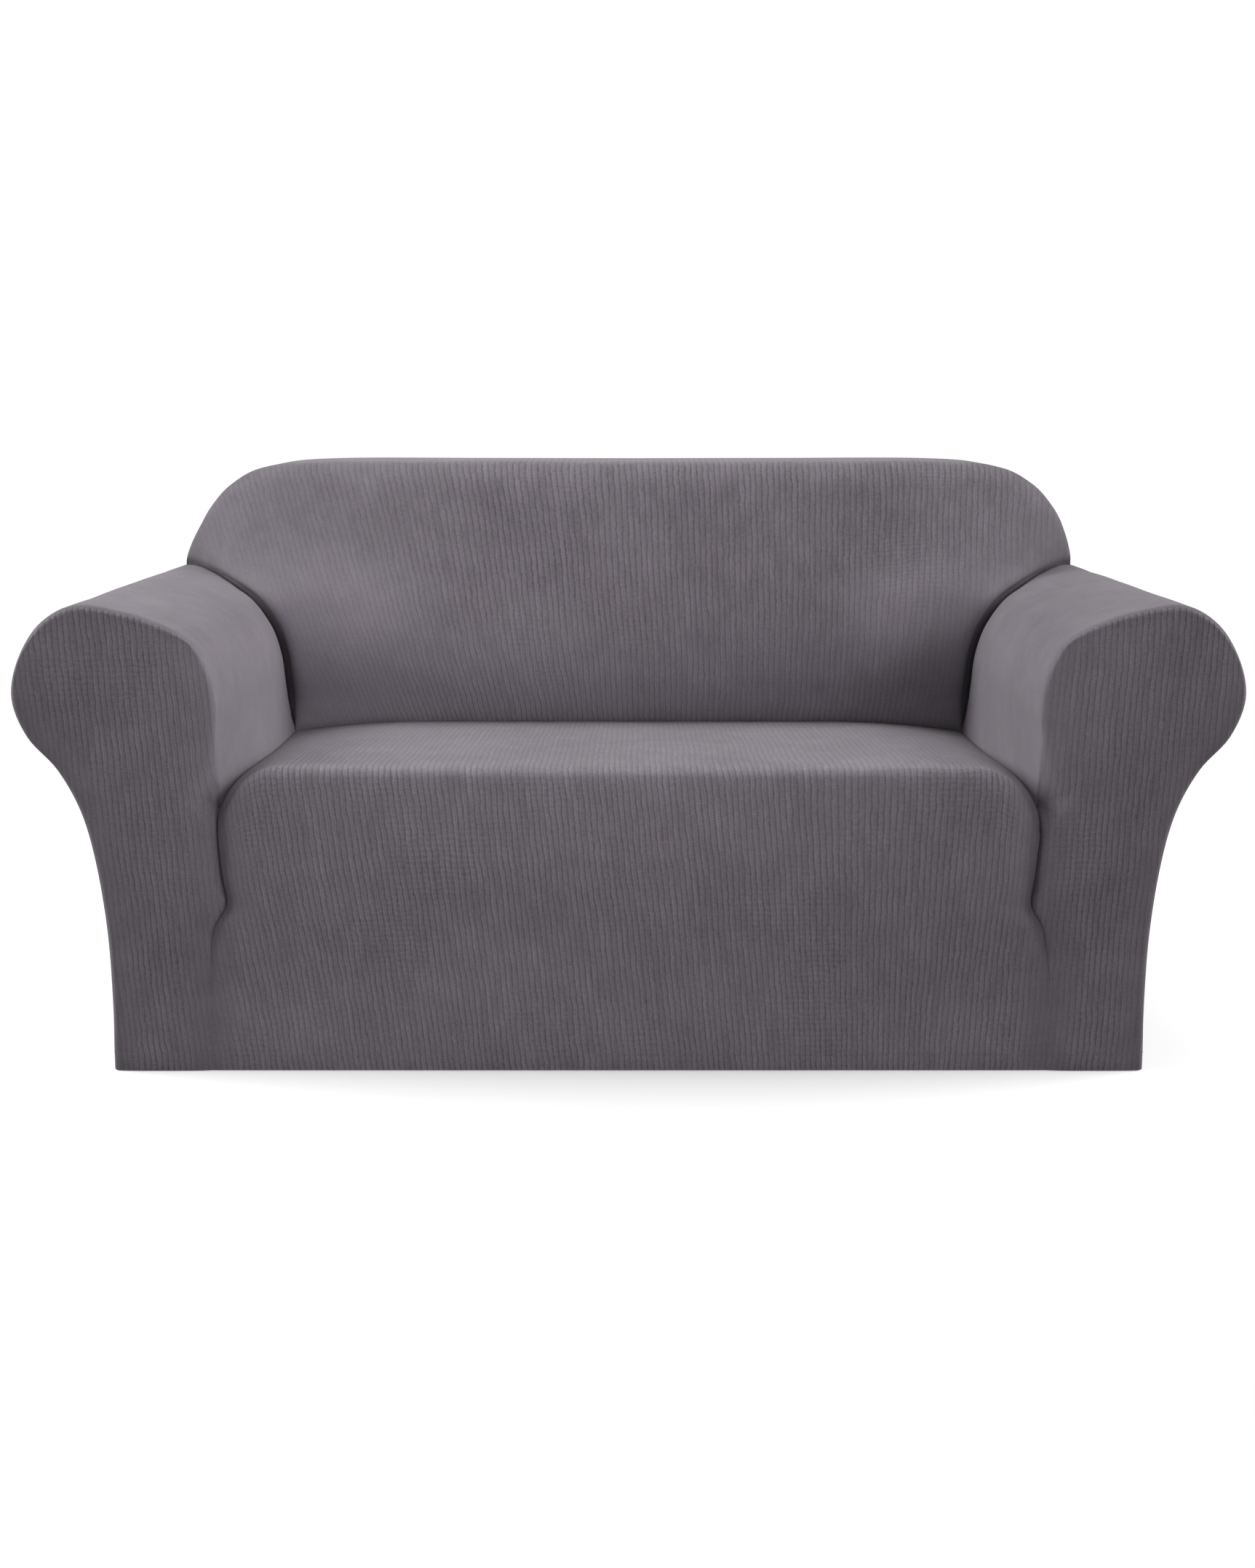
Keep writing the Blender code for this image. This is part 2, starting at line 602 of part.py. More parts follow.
def make_arm_front(side, name):
    panel = Panel()
    outer_row, inner_row = (arm_number(row) for row in TOP_CORNER_ROWS)
    thickness = np.where(ARM_LINE[:, 1] < HEM_TOP, HEM_CLOTH, CLOTH)
    drawn_in = thickness + EDGE_ROLL[0, 1] + SEAM_GAP
    line = ARM_LINE - ARM_NORMALS * drawn_in[:, None]
    line[-1, 1] = ARM_LINE[-1, 1]
    outer = line[:outer_row - 1:-1]
    top = line[outer_row:inner_row - 1:-1]

    # The inner edge runs up the groove, butts on the wrap where that starts further back, then lies inside it
    levels = SEAT_ROWS[:CORNER_ROW - 1:-1, 3]
    groove = np.stack([groove_x(levels, side) + SEAM_GAP, levels], axis=1)
    butted = np.arange(arm_number(BUTTED_ROWS[0]), arm_number(BUTTED_ROWS[1]) + 1)
    meeting = arm_points(butted, FRONT[butted], -EDGE_ROLL[0, 1])
    inner = np.concatenate([groove, meeting[:, ::2], line[butted[-1] + 1:inner_row + 1]])
    dip = np.full(len(inner), SEAM_DIP)
    dip[:len(groove)] = SEAT_ROWS[:CORNER_ROW - 1:-1, 2]
    dip[len(groove):len(groove) + len(butted)] = FRONT[butted] - SEAM_GAP
    outer_places = np.array(OUTER_STEPS)
    last = len(inner) - 1
    near_top = [last - 0.4, last - 0.12]
    inner_places = np.concatenate([np.arange(last), near_top, [last]])
    outer = along(outer, np.interp(inner_places, np.arange(len(inner)), outer_places))
    inner = along(inner, inner_places)
    dip = np.interp(inner_places, np.arange(len(dip)), dip)

    end = len(top) - 1
    columns = np.concatenate([[0, 0.15, 0.5], np.arange(1, end), [end - 0.5, end - 0.15, end]])
    top = along(top, columns)
    u = shares(top)
    v = (shares(outer) + shares(inner)) / 2
    hem = outer[0] + (inner[0] - outer[0]) * u[:, None]
    flat = patch(hem, top, outer, inner, u, v)
    width = np.linalg.norm(flat[:, -1] - flat[:, 0], axis=1)[:, None]
    height = np.linalg.norm(flat[-1] - flat[0], axis=1)[None]
    y = -ARM_FRONT_CROWN * (1 - (2 * u - 1) ** 4)[None] * (1 - v[:, None] ** 8)
    y = y + SEAM_DIP * sunk(u[None] * width, SEAM_ROLL)
    y = y + dip[:, None] * sunk((1 - u)[None] * width, SEAM_ROLL)
    y[-3:] = np.maximum(y[-3:], SEAM_DIP * sunk((1 - v[-3:, None]) * height, SEAM_ROLL))
    points = np.stack([side * flat[:, :, 0], y, flat[:, :, 1]], axis=2)
    numbers = panel.add(points)
    panel.fill(numbers)

    count = len(levels)
    rim = numbers[:count, -1]
    depth = np.interp(levels[:-1], GROOVE[::-1, 0], GROOVE[::-1, 3])
    strip = [rim]
    for step in TUCK_STEPS:
        behind = points[:count - 1, -1] + np.outer(depth * step, (0, 1, 0))
        strip.append(np.append(panel.add(behind), rim[-1]))
    panel.fill(np.array(strip))
    for number in np.concatenate([numbers[:, 0], numbers[-1], numbers[count:, -1]]):
        panel.given_normals[number] = (0, -1, 0)
    for i, number in enumerate(butted):
        normal = (side * ARM_NORMALS[number, 0], 0, ARM_NORMALS[number, 1])
        panel.given_normals[numbers[count + i, -1]] = normal
    panel.solid(name, (0, -1, 0), 0.9)


def main():
    for obj in list(bpy.data.objects):
        bpy.data.objects.remove(obj)
    make_inside_back()
    make_outside_back()
    make_seat_front()
    for side, word in ((-1, "left"), (1, "right")):
        make_arm_wrap(side, f"arm_{word}")
        make_arm_front(side, f"arm_front_{word}")


main()
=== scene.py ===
# %% [markdown]
# # A ribbed stretch cover for a two-seater with rolled arms
#
# The real thing is a knitted cover that is pulled over a whole seat like a stocking. It is sewn from
# seven panels: the seat with its front skirt, the inside back, the outside back, two arm wraps and two
# arm fronts. Knit has no body of its own, so everything that the eye reads as its shape is the form it is
# stretched over, and everything that it reads as cloth is small: ribs, seams, a hem and a slight
# unevenness.
#
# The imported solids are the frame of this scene. They are coarse on purpose, so each one is replaced by a
# panel that follows the same rules on a finer grid.

import bpy
import numpy as np
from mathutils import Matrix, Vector
from mathutils.kdtree import KDTree


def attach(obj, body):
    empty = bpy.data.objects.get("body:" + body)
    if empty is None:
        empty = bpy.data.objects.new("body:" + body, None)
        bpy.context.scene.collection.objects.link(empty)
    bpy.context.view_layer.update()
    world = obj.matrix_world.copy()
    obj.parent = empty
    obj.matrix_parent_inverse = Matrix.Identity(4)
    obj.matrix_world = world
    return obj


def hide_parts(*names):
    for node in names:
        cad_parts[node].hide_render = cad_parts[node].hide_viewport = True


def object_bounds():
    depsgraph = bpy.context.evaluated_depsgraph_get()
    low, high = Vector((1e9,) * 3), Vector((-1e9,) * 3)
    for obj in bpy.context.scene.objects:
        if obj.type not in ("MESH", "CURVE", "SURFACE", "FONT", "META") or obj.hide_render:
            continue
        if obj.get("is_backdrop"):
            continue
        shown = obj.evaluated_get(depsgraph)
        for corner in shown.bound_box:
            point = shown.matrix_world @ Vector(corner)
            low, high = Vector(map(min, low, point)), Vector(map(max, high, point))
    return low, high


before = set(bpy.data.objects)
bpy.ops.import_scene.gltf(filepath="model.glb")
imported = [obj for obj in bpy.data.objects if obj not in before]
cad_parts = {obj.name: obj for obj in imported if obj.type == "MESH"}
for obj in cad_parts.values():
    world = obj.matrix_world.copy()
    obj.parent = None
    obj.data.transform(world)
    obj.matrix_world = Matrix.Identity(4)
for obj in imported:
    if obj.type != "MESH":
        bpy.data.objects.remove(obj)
solid_box = [list(corner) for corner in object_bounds()]
print("solids:", sorted(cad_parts))
print("their box:", solid_box)

# %% [markdown]
# ## One place for the sizes
#
# All sizes are in metres. They are stated from the ground up and from the plane of the arm fronts
# backwards, because that is how one measures a seat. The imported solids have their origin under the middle
# of the top, so every point is moved by `ORIGIN` when a mesh is made.

# %% Sizes that all panels share
ORIGIN = np.array([0.0, 0.725, 0.877])
REAR = 0.810
HEM = 0.052
CLOTH = 0.002
SEAM_GAP = 0.00005
MOUTH_GAP = 0.0005
SEAM_ROLL = 0.012
ARRIS_DROP = 0.003
ARRIS_WIDTH = 0.006
TUCK_STEPS = (0.12, 0.28, 0.5, 0.75, 1.0)


# %% [markdown]
# ## Smooth curves through a few rows
#
# A panel's shape is given by tables with a dozen rows. A Catmull-Rom curve passes through every row and
# has no corners, so the same table can serve a coarse solid and a fine sheet.

# %% Curves through tables
def through(table, places):
    """Points on a smooth curve through a table's rows; places are row numbers, with fractions."""
    table = np.asarray(table, float)
    places = np.atleast_1d(np.asarray(places, float))
    start = np.clip(np.floor(places).astype(int), 0, len(table) - 2)
    t = (places - start)[:, None]
    before = table[np.maximum(start - 1, 0)]
    first, second = table[start], table[start + 1]
    after = table[np.minimum(start + 2, len(table) - 1)]
    bend = 2 * before - 5 * first + 4 * second - after
    twist = 3 * (first - second) + after - before
    return 0.5 * (2 * first + (second - before) * t + bend * t**2 + twist * t**3)


def lengths(points):
    """How far along its curve each point lies."""
    steps = np.linalg.norm(np.diff(points, axis=0), axis=-1)
    return np.concatenate([[0.0], np.cumsum(steps)])


def shares(points):
    reached = lengths(points)
    return reached / reached[-1]


def sunk(distance, width):
    """How far a rounded edge has sunk, from 1 at the edge to 0 where its rounding ends."""
    across = np.clip(1 - np.asarray(distance) / width, 0, 1)
    return 1 - np.sqrt(1 - across**2)


def arris(distance):
    """How far a panel's edge turns over, so that it meets its neighbour at 45 degrees."""
    return ARRIS_DROP * np.clip(1 - np.asarray(distance) / ARRIS_WIDTH, 0, 1) ** 2


def closing(step):
    """How wide a tuck still is at a share of its depth: 1 at its mouth, 0 at its bottom."""
    return (1 - step) ** 1.5


def eased(values):
    """0 to 1 with no corner at either end."""
    values = np.clip(values, 0, 1)
    return values * values * (3 - 2 * values)


def beside(distance, width):
    """1 at an edge, easing to 0 at a distance from it."""
    return 1 - eased(np.asarray(distance) / width)


print("half way between 0, 1, 4:", through([[0.0], [1.0], [4.0]], [0.5, 1.5]).ravel())

# %% [markdown]
# ## The arm, as a section that runs backwards
#
# The arm's cross-section is one curve, from the tuck beside the seat over the roll to the hem. Further
# back the arm stands a few millimetres further out, and its top falls a little. A function that gives any
# point of it, at any depth, is worth more than a mesh: the arm wrap, both edges of the arm front, the
# sides of the seat and the sides of the back are all laid out on the same surface, so they meet without
# being fitted.

# %% The arm's tables
ARM_PROFILE = np.array([
    # x, z
    (0.5725, 0.380), (0.5722, 0.402), (0.5708, 0.430), (0.5659, 0.484), (0.5620, 0.525), (0.5587, 0.5745),
    (0.5672, 0.622), (0.5910, 0.6622), (0.6355, 0.688), (0.6893, 0.7043), (0.7480, 0.7110), (0.7960, 0.685),
    (0.8280, 0.636), (0.8395, 0.583), (0.8215, 0.530), (0.7830, 0.484), (0.7545, 0.425), (0.7380, 0.350),
    (0.7280, 0.250), (0.7265, 0.150), (0.7285, 0.080), (0.7290, 0.052),
])
ARM_AT_BACK = np.array([
    # how far the row stands further out at the rear, y of the back's face, depth of the tuck, front edge's y
    (-0.0090, 0.625, 0.035, 0.060),
    (-0.0085, 0.612, 0.035, 0.055),
    (-0.0070, 0.600, 0.035, 0.048),
    (-0.0012, 0.575, 0.034, 0.014),
    (0.0018, 0.548, 0.032, 0.000),
    (0.0062, 0.524, 0.030, 0.000),
    (0.0095, 0.512, 0.028, 0.000),
    (0.0120, 0.512, 0.025, 0.000),
    (0.0070, 0.540, 0.020, 0.000),
    (0.0027, 0.600, 0.012, 0.000),
    (0.0000, 0.660, 0.008, 0.000),
])
ARM_ROWS = len(ARM_PROFILE) - 1
SEAT_CORNER, RIDGE = 2, 10
FRONT_TOP_FROM, FRONT_TOP_TO = 12, 7
NEARBY = 0.01
SHEAR_AT = 0.600
ARM_SLOPE, ARM_SLOPE_FROM, ARM_SLOPE_FULL = 0.008, 0.50, 0.70
BACK_MOUTH, MOUTH_WIDENS, MOUTH_TURN = 0.020, 1.5, 1.3
CREASE_WIDENS, CREASE_NARROWS, CREASE_ENDS = 1.0, 3.5, 0.2
BACK_OPEN = 0.016
BACK_STANDS_OFF = 0.003
SINKS_BEFORE, SINKS_OVER = 0.014, 0.034


# %% Any point of the arm
def at_back(places):
    """The arm's columns where it meets the back: move, y, tuck and front."""
    columns = through(ARM_AT_BACK, np.minimum(places, RIDGE)).T
    columns[3] = np.maximum(columns[3], 0)
    return columns


def arm_section(places):
    """The section's points and the normals that point out of the cloth."""
    places = np.atleast_1d(np.asarray(places, float))
    run = through(ARM_PROFILE, places + NEARBY) - through(ARM_PROFILE, places - NEARBY)
    run /= np.linalg.norm(run, axis=1)[:, None]
    return through(ARM_PROFILE, places), np.stack([-run[:, 1], run[:, 0]], axis=1)


def arm_points(places, y, proud=0.0):
    """Points of the arm at these places of its section and at the depths y, standing proud of it."""
    line, normals = arm_section(places)
    move = at_back(places)[0]
    steepness = (line[:, 1] - ARM_SLOPE_FROM) / (ARM_SLOPE_FULL - ARM_SLOPE_FROM)
    slope = ARM_SLOPE * np.clip(steepness, 0, 1)
    x = line[:, 0] + move * y / SHEAR_AT + normals[:, 0] * proud
    z = line[:, 1] - slope * y + normals[:, 1] * proud
    return np.stack(np.broadcast_arrays(x, y, z), axis=-1)


WALL_PLACES = np.linspace(0, 5, 120)
WALL_X, WALL_Z = through(ARM_PROFILE, WALL_PLACES).T
WALL_MOVE = at_back(WALL_PLACES)[0]


def arm_wall_x(y, z):
    """x of the arm's inner wall, beside the seat."""
    return np.interp(z, WALL_Z, WALL_X) + np.interp(z, WALL_Z, WALL_MOVE) * y / SHEAR_AT


def back_mouth(places):
    """How far behind the back's face its sides meet the arm: nothing at the seat and at the ridge."""
    share = np.clip((places - SEAT_CORNER) / (RIDGE - SEAT_CORNER), 0, 1)
    return BACK_MOUTH * np.clip((places - SEAT_CORNER) / MOUTH_WIDENS, 0, 1) * (1 - share**4)


def creased(places):
    """Where the crease between back and arm is open: 0 at the seat and at the ridge, 1 between them."""
    opened = eased((places - SEAT_CORNER) / CREASE_WIDENS)
    return opened * eased((RIDGE - CREASE_ENDS - places) / CREASE_NARROWS)


def arm_sink(places, y, back_y):
    """How far the arm's cloth sinks away from the back as it goes into the crease."""
    return BACK_OPEN * creased(places) * eased((y - back_y + SINKS_BEFORE) / SINKS_OVER)


print("arm ridge at the front and at the rear:", arm_points(RIDGE, 0.0)[0], arm_points(RIDGE, REAR)[0])

# %% [markdown]
# ## A sheet that grows grid by grid
#
# Each panel is a few grids of points that share their edges. The class below keeps the points and the
# faces. It also keeps what the knit needs at each point: how far the point lies across the ribs, how far
# along them, and how strongly they show. Stretched cloth loses its ribs where it is pulled hardest, over
# the arms and into the tucks. These numbers travel with the mesh as an attribute, so the ribs follow the
# cloth and not the room.
#
# A second attribute is the cloth's tone, a factor on its colour. Its rows were set by comparing renders
# with the photograph: lighter down the inner arms, at the seat's ends, low on the back and at its sides,
# darker over the top of the back and the arms, in creases, along the arm fronts' outlines and at the hem.
# Most of it is painted light and painted shade, for light that reaches into the hollow of the seat and shade
# in its creases, which this plain studio doesn't give; a little of the lightness stands for cloth that is
# stretched thin. Under other lights the cloth keeps this painted light and shade.

# %% Objects and meshes
def linked(name, data):
    """An object in the scene that holds a mesh, a light or a camera."""
    made = bpy.data.objects.new(name, data)
    bpy.context.scene.collection.objects.link(made)
    return made


def shaped(name, points, edges, faces):
    """A mesh of points that are measured from the ground up, as an object in the scene."""
    mesh = bpy.data.meshes.new(name)
    mesh.from_pydata((np.asarray(points) - ORIGIN).tolist(), edges, faces)
    return linked(name, mesh)


# %% The sheet
KNIT, LOOSE, TONE = "knit", "loose", "tone"
STILL_EDGE, LOOSE_BY = 0.030, 0.110


def edges_of(faces):
    """The edges of faces, each as two points in the order in which its face runs through them."""
    return {(face[i - 1], face[i]) for face in faces for i in range(len(face))}


class Sheet:
    """The outer face of one panel."""

    def __init__(self):
        self.points = np.empty((0, 3))
        self.knit = np.empty((0, 3))
        self.tone = np.empty(0)
        self.faces = []

    def add(self, block, across, along, ribs, tone=1.0):
        """Adds points with their place across and along the ribs, and returns their numbers."""
        block = np.asarray(block, float)
        shape = block.shape[:-1]
        first = len(self.points)
        knit = np.stack([np.broadcast_to(value, shape) for value in (across, along, ribs)], axis=-1)
        self.points = np.vstack([self.points, block.reshape(-1, 3)])
        self.knit = np.vstack([self.knit, knit.reshape(-1, 3)])
        self.tone = np.append(self.tone, np.broadcast_to(tone, shape))
        return first + np.arange(block.size // 3).reshape(shape)

    def fill(self, table):
        """Adds faces between the rows and columns of a table of point numbers; -1 leaves cells out."""
        cells = []
        for near, far in zip(table[:-1], table[1:]):
            for corners in zip(near[:-1], near[1:], far[1:], far[:-1]):
                corners = list(dict.fromkeys(int(corner) for corner in corners))
                if min(corners) >= 0 and len(corners) > 2:
                    cells.append(corners)
        if edges_of(cells) & edges_of(self.faces):
            cells = [cell[::-1] for cell in cells]
        self.faces += cells

    def looseness(self):
        """0 beside the panel's edges and 1 well inside it, where the cloth is free to be uneven."""
        edges = edges_of(self.faces)
        rim = sorted({a for a, b in edges if (b, a) not in edges})
        tree = KDTree(len(rim))
        for number in rim:
            tree.insert(self.points[number], number)
        tree.balance()
        distance = np.array([tree.find(point)[2] for point in self.points])
        return eased((distance - STILL_EDGE) / (LOOSE_BY - STILL_EDGE))

    def piece(self, name, direction):
        """The sheet as an object, with its faces turned to look in a direction on the whole."""
        panel = shaped(name, self.points, [], self.faces)
        mesh = panel.data
        facing = np.zeros(3)
        for polygon in mesh.polygons:
            facing += np.array(polygon.normal) * polygon.area
        if facing @ np.asarray(direction, float) < 0:
            mesh.flip_normals()
        mesh.attributes.new(KNIT, "FLOAT_VECTOR", "POINT").data.foreach_set("vector", self.knit.ravel())
        for attribute, values in ((LOOSE, self.looseness()), (TONE, self.tone)):
            mesh.attributes.new(attribute, "FLOAT", "POINT").data.foreach_set("value", values)
        mesh.shade_smooth()
        print(f"{name}: {len(mesh.vertices)} points, {len(mesh.polygons)} faces")
        return panel


# %% [markdown]
# ## The hem
#
# The lowest part of the cloth is doubled, and it is darker towards its edge: partly the doubled cloth and
# partly painted shade where the cloth turns under. A row of stitches is laid on it further on, once all the
# panels are there. Until then each panel only notes where it passes the stitches' height.

# %% The hem's darker edge, and the line that its stitches will follow
HEM_STITCH_Z = 0.077
HEM_DARKER, HEM_DARK_WIDTH = 0.10, 0.022
hem_runs = {}


def hem_tone(z):
    """The tone of cloth at a height above the ground."""
    return 1 - HEM_DARKER * beside(z - HEM, HEM_DARK_WIDTH)


def level_run(grid, z):
    """Where the columns of a grid of points pass a height: one point to a column."""
    run = []
    for column in range(grid.shape[1]):
        line = grid[:, column]
        line = line[np.argsort(line[:, 2])]
        run.append([np.interp(z, line[:, 2], line[:, i]) for i in (0, 1)] + [z])
    return np.array(run)


# %% [markdown]
# ## Arm wraps
#
# One length of cloth goes up the inner side of the arm, over the roll and down to the hem. Its front edge
# is sewn to the arm front and draws in there, and its rear edge is sewn to the outside back. Beside the
# back the cloth goes on into the tuck, so the wrap is shorter on the inner side than on the outer one.
# The ribs run over the arm, so a place across them is simply a depth.

# %% The arm wraps' numbers
WRAP_COLUMNS, WRAP_CROWDING = 66, 1.6
REAR_STEPS = np.array([0.0085, 0.006, 0.004, 0.002, 0.0])
REAR_COLUMNS = np.concatenate([[0.120, 0.090, 0.060, 0.035, 0.020, 0.012], REAR_STEPS])
PAST_TUCK = 0.004
RIBS_SHOW_AFTER = 0.03
ARM_STEPS = 7
ARM_PLACES = np.arange(ARM_ROWS * ARM_STEPS + 1) / ARM_STEPS
HEM_PLACE = ARM_ROWS - 0.7
WRAP_PAINTED_LIGHT = np.array([
    # place in the section, tone: painted light down the inner arm, painted shade over its top
    (0, 1.46), (4, 1.31), (7, 1.08), (10, 0.84), (13, 0.96),
])
WRAP_RIBS = np.array([
    # place in the section, how strongly the ribs show
    (0, 0.10), (5, 0.22), (8, 0.22), (10, 0.20), (12, 0.35), (15, 0.85), (21, 1.00),
])


# %% Make the arm wraps
def make_arm_wrap(side, name):
    sheet = Sheet()
    run = np.linspace(0, 1, WRAP_COLUMNS) ** WRAP_CROWDING
    behind = REAR - ARRIS_DROP - REAR_COLUMNS
    along = lengths(arm_section(ARM_PLACES)[0])
    rows = []
    for place, reached in zip(ARM_PLACES, along):
        _, back_y, tuck, front = (column[0] for column in at_back([place]))
        end = back_y
        if place < RIDGE:
            end += (back_mouth(place) + tuck + PAST_TUCK) * min(1.0, 2 * (RIDGE - place))
        start = front + ARRIS_DROP
        y = start + run * (end - start)
        drawn = arris(y - start)
        if place >= RIDGE:
            y = np.concatenate([y, behind])
            drawn = np.concatenate([drawn, arris(REAR_COLUMNS)])
        if place < RIDGE:
            drawn = drawn + arm_sink(place, y, back_y)
        ribs = np.interp(place, *WRAP_RIBS.T) * eased((y - front) / RIBS_SHOW_AFTER)
        # Painted light down the inner arm and painted shade over its top, and the darker hem
        tone = np.interp(place, *WRAP_PAINTED_LIGHT.T) - HEM_DARKER * (place > HEM_PLACE)
        numbers = sheet.add(arm_points(place, y, -drawn) * (side, 1, 1), y, reached, ribs, tone)
        row = np.full(len(run) + len(behind), -1)
        row[:len(numbers)] = numbers
        rows.append(row)
    rows = np.array(rows)
    sheet.fill(rows)
    outside = sheet.points[rows[ARM_PLACES >= RIDGE]]
    hem_runs[name] = level_run(outside, HEM_STITCH_Z)
    return sheet.piece(name, (side, 0, 0.5))


arm_wraps = [make_arm_wrap(-1, "arm_wrap_left"), make_arm_wrap(1, "arm_wrap_right")]

# %% [markdown]
# ## Seat and front skirt
#
# The seat's cloth comes out of the tuck under the back, runs over the padded front edge and falls to the
# hem in one length. In the middle it is nearly flat, and towards the arms it slopes down into a tuck. In
# front of the arms the tuck goes on as a groove, which swings out, in and out again like a long S and
# then fades: there the cover is pulled in between the seat and the arm.
#
# The rows below say where the cloth lies in the middle and at the sides, and how wide the slope at the
# sides is.

# %% The seat's tables
SEAT_ROWS = np.array([
    # y and z in the middle, y and z at the sides, width of the slope at the sides
    (0.575, 0.4525, 0.6000, 0.4310, 0.240),
    (0.500, 0.4590, 0.5200, 0.4310, 0.200),
    (0.400, 0.4670, 0.4200, 0.4330, 0.165),
    (0.300, 0.4745, 0.3200, 0.4380, 0.135),
    (0.200, 0.4810, 0.2200, 0.4430, 0.115),
    (0.120, 0.4855, 0.1400, 0.4445, 0.105),
    (0.060, 0.4885, 0.0800, 0.4400, 0.100),
    (0.025, 0.4905, 0.0500, 0.4325, 0.095),
    (0.000, 0.4905, 0.0300, 0.4225, 0.090),
    (-0.0115, 0.4860, 0.0180, 0.4110, 0.085),
    (-0.0170, 0.4740, 0.0125, 0.3980, 0.080),
    (-0.0185, 0.4450, 0.0100, 0.3880, 0.074),
    (-0.018, 0.3940, 0.0100, 0.3720, 0.066),
    (-0.018, 0.3600, 0.0100, 0.3500, 0.058),
    (-0.017, 0.3250, 0.0100, 0.3250, 0.050),
    (-0.014, 0.3000, 0.0100, 0.3000, 0.045),
    (-0.0125, 0.2860, 0.0090, 0.2860, 0.042),
    (-0.0095, 0.2700, 0.0070, 0.2700, 0.040),
    (-0.006, 0.2540, 0.0060, 0.2540, 0.036),
    (-0.004, 0.2300, 0.0050, 0.2300, 0.030),
    (0.000, 0.1800, 0.0030, 0.1800, 0.024),
    (0.000, 0.1150, 0.0030, 0.1150, 0.018),
    (0.000, 0.0800, 0.0030, 0.0800, 0.018),
    (0.000, 0.0520, 0.0030, 0.0520, 0.018),
])
CORNER_ROW = 8
GROOVE = np.array([
    # z, x on the left, x on the right, depth of the arm front's cloth in it
    (0.4225, 0.5708, 0.5708, 0.020),
    (0.411, 0.5706, 0.5706, 0.018),
    (0.398, 0.5700, 0.5700, 0.015),
    (0.388, 0.5695, 0.5705, 0.013),
    (0.350, 0.5680, 0.5675, 0.012),
    (0.325, 0.5655, 0.5655, 0.012),
    (0.300, 0.5608, 0.5618, 0.011),
    (0.286, 0.5630, 0.5632, 0.010),
    (0.270, 0.5735, 0.5730, 0.009),
    (0.254, 0.5805, 0.5790, 0.008),
    (0.230, 0.5830, 0.5835, 0.008),
    (0.180, 0.5860, 0.5900, 0.008),
    (0.115, 0.5880, 0.5900, 0.008),
    (0.052, 0.5900, 0.5910, 0.008),
])
SEAT_TUCKS = np.array([
    # row of SEAT_ROWS, direction in y and z, depth
    (0, 0.75, -0.66, 0.035),
    (1, 0.35, -0.94, 0.032),
    (2, 0.00, -1.00, 0.030),
    (6, 0.00, -1.00, 0.030),
    (7, 0.20, -0.98, 0.026),
    (8, 0.50, -0.87, 0.022),
    (9, 0.80, -0.60, 0.018),
    (10, 0.98, -0.20, 0.014),
    (11, 1.00, 0.00, 0.013),
    (15, 1.00, 0.00, 0.011),
    (18, 1.00, 0.00, 0.009),
    (23, 1.00, 0.00, 0.008),
])
BACK_TUCK = np.array([0.0, 0.7507, -0.6606])
BACK_TUCK_SIDE = np.array([0.0, 0.6606, 0.7507])

# %% Columns across, close together at the sides
HALF_COLUMNS, COLUMN_CROWDING = 84, 1.35
FLUSH_AT, FLUSH_OVER, LEFT_OVER = 0.12, 0.13, 0.1
half_across = 0.5 * np.linspace(0, 1, HALF_COLUMNS + 1) ** COLUMN_CROWDING
ACROSS = np.concatenate([half_across, 1 - half_across[-2::-1]])
SEAT_STEPS = 5
SEAT_PLACES = np.arange((len(SEAT_ROWS) - 1) * SEAT_STEPS + 1) / SEAT_STEPS
SEAT = through(SEAT_ROWS, SEAT_PLACES)

# Towards the hem the skirt's sides come forward, until they are nearly flush with its middle
stands_back = LEFT_OVER + (1 - LEFT_OVER) * eased((SEAT[:, 3] - FLUSH_AT) / FLUSH_OVER)
SEAT[:, 2] = SEAT[:, 0] + (SEAT[:, 2] - SEAT[:, 0]) * stands_back
GROOVE_LINE = through(GROOVE, np.linspace(0, len(GROOVE) - 1, 500))[::-1]
print(len(ACROSS), "columns and", len(SEAT), "rows on the seat")


# %% The seat's edges and the tuck beside it
CREASE_OPENINGS = np.array([
    # z, half the width of the crease's mouth: the groove in front of the arm closes towards its lower end
    (0.280, 0.0000), (0.315, 0.0018), (0.410, 0.0015), (0.440, 0.0038),
])
# Painted shade beside the creases: how much darker the cloth gets, and how far from the crease it reaches
CREASE_PAINTED_SHADE, CREASE_SHADE = 0.30, 0.014


def groove_x(z, side):
    return np.interp(z, GROOVE_LINE[:, 0], GROOVE_LINE[:, 1 if side < 0 else 2])


def seat_side(side):
    """The seat's edge in the tucks on one side, and the rows of cloth that go down into them."""
    y, z = SEAT[:, 2], SEAT[:, 3]
    beside_arm = SEAT_PLACES < CORNER_ROW
    opening = np.interp(z, *CREASE_OPENINGS.T) * np.clip(SEAT_PLACES / 2, 0, 1)
    closed = np.where(beside_arm, arm_wall_x(y, z) - MOUTH_GAP, groove_x(z, side) - SEAM_GAP)
    edge = np.stack([side * (closed - opening), y, z], axis=1)
    facts = np.stack([np.interp(SEAT_PLACES, SEAT_TUCKS[:, 0], SEAT_TUCKS[:, i]) for i in (1, 2, 3)], axis=1)
    tucks = []
    for step in TUCK_STEPS:
        down = edge.copy()
        down[:, 1:] += facts[:, :2] * facts[:, 2:] * step
        wall = arm_wall_x(down[:, 1], down[:, 2]) - MOUTH_GAP
        down[:, 0] = side * (np.where(beside_arm, wall, closed) - opening * closing(step))
        tucks.append(down)
    return edge, tucks


